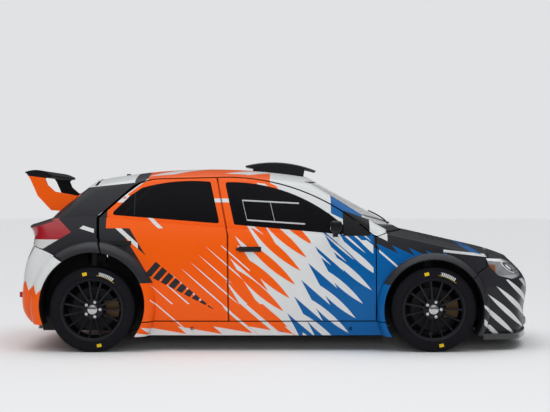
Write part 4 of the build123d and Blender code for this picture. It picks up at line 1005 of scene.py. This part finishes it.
def handle(end, side, sign, place, black):
    """Pull handle set on the door skin: a cup, a grip and its two feet."""
    tree = surface(f"{end}_door_{side}")
    x, z = place
    y = tree.ray_cast(Vector((x, sign * 2.0, z)), Vector((0.0, -sign, 0.0)))[0].y
    work = bmesh.new()
    for left, right, inner, outer, half, bevel in (
        (-0.085, 0.085, -0.004, 0.006, 0.020, 0.0045),
        (-0.105, 0.060, 0.008, 0.022, 0.011, 0.006),
        (-0.075, -0.057, 0.0, 0.012, 0.010, 0.002),
        (0.045, 0.063, 0.0, 0.012, 0.010, 0.002),
    ):
        near, far = sorted((y + sign * inner, y + sign * outer))
        add_box(work, (x + left, near, z - half), (x + right, far, z + half), bevel)
    mesh_object(f"{end}_handle_{side}", work, f"{end}_door_{side}_body", [black])


def rails(side, sign, pale):
    """Sliding pane frame on the front door window: thin rails and posts."""
    tree = surface(f"front_door_glass_{side}")
    work = bmesh.new()
    for start, end, radius in (
        ((-0.263, 1.143), (0.174, 1.120), 0.006),
        ((-0.225, 0.992), (0.220, 0.962), 0.006),
        ((-0.260, 1.140), (-0.225, 0.995), 0.0018),
        ((-0.048, 1.132), (-0.012, 0.980), 0.0018),
    ):
        ends = [(x, sign * 2.0, z) for x, z in (start, end)]
        surface_rod(work, tree, *ends, 12, (0.0, -sign, 0.0), (0.0, sign * 0.002, 0.0), radius)
    mesh_object(f"window_rails_{side}", work, f"front_door_{side}_body", [pale])


def divider(side, sign, black):
    """Upright bar that parts the rear door's window from its quarter pane."""
    tree = surface(f"rear_door_glass_{side}")
    work = bmesh.new()
    ends = [(-1.090, sign * 2.0, z) for z in (1.028, 1.198)]
    surface_rod(work, tree, *ends, 8, (0.0, -sign, 0.0), (0.0, 0.0, 0.0), 0.006)
    mesh_object(f"window_divider_{side}", work, f"rear_door_{side}_body", [black])


def wipers(black):
    """Two wiper arms lying on the windscreen."""
    tree = surface("windscreen")
    work = bmesh.new()
    for start, end in (((-0.42, 0.958), (0.05, 1.055)), ((0.12, 0.955), (0.52, 1.020))):
        ends = [(3.0, y, z) for y, z in (start, end)]
        surface_rod(work, tree, *ends, 8, (-1.0, 0.0, 0.0), (0.009, 0.0, 0.006), 0.006)
    mesh_object("wipers", work, "car_body", [black])


def vents(black):
    """Louvred outlets let into the bonnet."""
    tree = surface("bonnet")
    work = bmesh.new()
    for sign in SIDES.values():
        for row in range(7):
            x = 1.16 + 0.05 * row
            ends = (x, sign * 0.16, 2.0), (x + 0.02, sign * 0.46, 2.0)
            surface_rod(work, tree, *ends, 5, (0.0, 0.0, -1.0), (0.0, 0.0, -0.004), 0.008)
    mesh_object("bonnet_vents", work, "bonnet_body", [black])


def pins(steel):
    """Quick-release bonnet pins with their plates."""
    tree = surface("bonnet")
    work = bmesh.new()
    for y in (-0.40, 0.40):
        hit = tree.ray_cast(Vector((1.64, y, 2.0)), Vector((0.0, 0.0, -1.0)))[0]
        for low, high, radius, sides in ((-0.002, 0.004, 0.022, 20), (0.0, 0.014, 0.006, 12)):
            add_rod(work, [hit + Vector((0.0, 0.0, rise)) for rise in (low, high)], radius, sides)
    mesh_object("bonnet_pins", work, "bonnet_body", [steel])


def aerial(black):
    """Round base of the roof aerial."""
    tree = surface("roof_panel")
    hit = tree.ray_cast(Vector((-1.22, 0.0, 3.0)), Vector((0.0, 0.0, -1.0)))[0]
    work = bmesh.new()
    add_rod(work, [hit + Vector((0.0, 0.0, rise)) for rise in (-0.002, 0.012)], 0.018, 16)
    mesh_object("aerial_base", work, "car_body", [black])


def belts():
    """Shoulder belts on each seat, as flat webbing."""
    strap = webbing()
    half, thick, stand = 0.028, 0.003, 0.043
    for side, sign in SIDES.items():
        tree = surface(f"seat_{side}")
        work = bmesh.new()
        for offset in (-0.085, 0.085):
            y = sign * SEAT_MIDDLE + offset
            rows = []
            for step in range(10):
                z = 0.50 + 0.036 * step
                hit = tree.ray_cast(Vector((0.5, y, z)), Vector((-1.0, 0.0, 0.0)))[0]
                if hit:
                    x = hit.x + stand
                    corners = ((x, -half), (x, half), (x + thick, half), (x + thick, -half))
                    rows.append([work.verts.new((at, y + across, z)) for at, across in corners])
            for low, high in zip(rows, rows[1:]):
                for k in range(4):
                    work.faces.new((low[k], low[(k + 1) % 4], high[(k + 1) % 4], high[k]))
            if rows:
                work.faces.new(rows[0])
                work.faces.new(rows[-1])
        mesh_object(f"belts_{side}", work, "car_body", [strap])


class RALLY_PT_panel(bpy.types.Panel):
    """Lists the dressing steps."""

    bl_idname = "RALLY_PT_panel"
    bl_label = "Rally car"
    bl_space_type = "VIEW_3D"
    bl_region_type = "UI"
    bl_category = "Rally car"

    def draw(self, context):
        for operator in OPERATORS:
            self.layout.operator(operator.bl_idname)
        for settings in (context.scene.rally_paint, context.scene.rally_stage, context.scene.rally_wheel):
            for key in settings.bl_rna.properties.keys():
                if key not in ("rna_type", "name"):
                    self.layout.prop(settings, key)


OPERATORS = (RALLY_OT_stage, RALLY_OT_body, RALLY_OT_seats, RALLY_OT_glass, RALLY_OT_wheels, RALLY_OT_trim)
SETTINGS = (
    ("rally_paint", RallyPaintSettings),
    ("rally_stage", RallyStageSettings),
    ("rally_wheel", RallyWheelSettings),
)


def register():
    for name, group in SETTINGS:
        bpy.utils.register_class(group)
        setattr(bpy.types.Scene, name, bpy.props.PointerProperty(type=group))
    for one in (*OPERATORS, RALLY_PT_panel):
        bpy.utils.register_class(one)


def unregister():
    for one in reversed((*OPERATORS, RALLY_PT_panel)):
        bpy.utils.unregister_class(one)
    for name, group in reversed(SETTINGS):
        delattr(bpy.types.Scene, name)
        bpy.utils.unregister_class(group)


def main():
    register()
    for operator in ("stage", "body", "seats", "glass", "wheels", "trim"):
        getattr(bpy.ops.rally, operator)()
    bpy.context.view_layer.update()


if __name__ == "__main__":
    main()
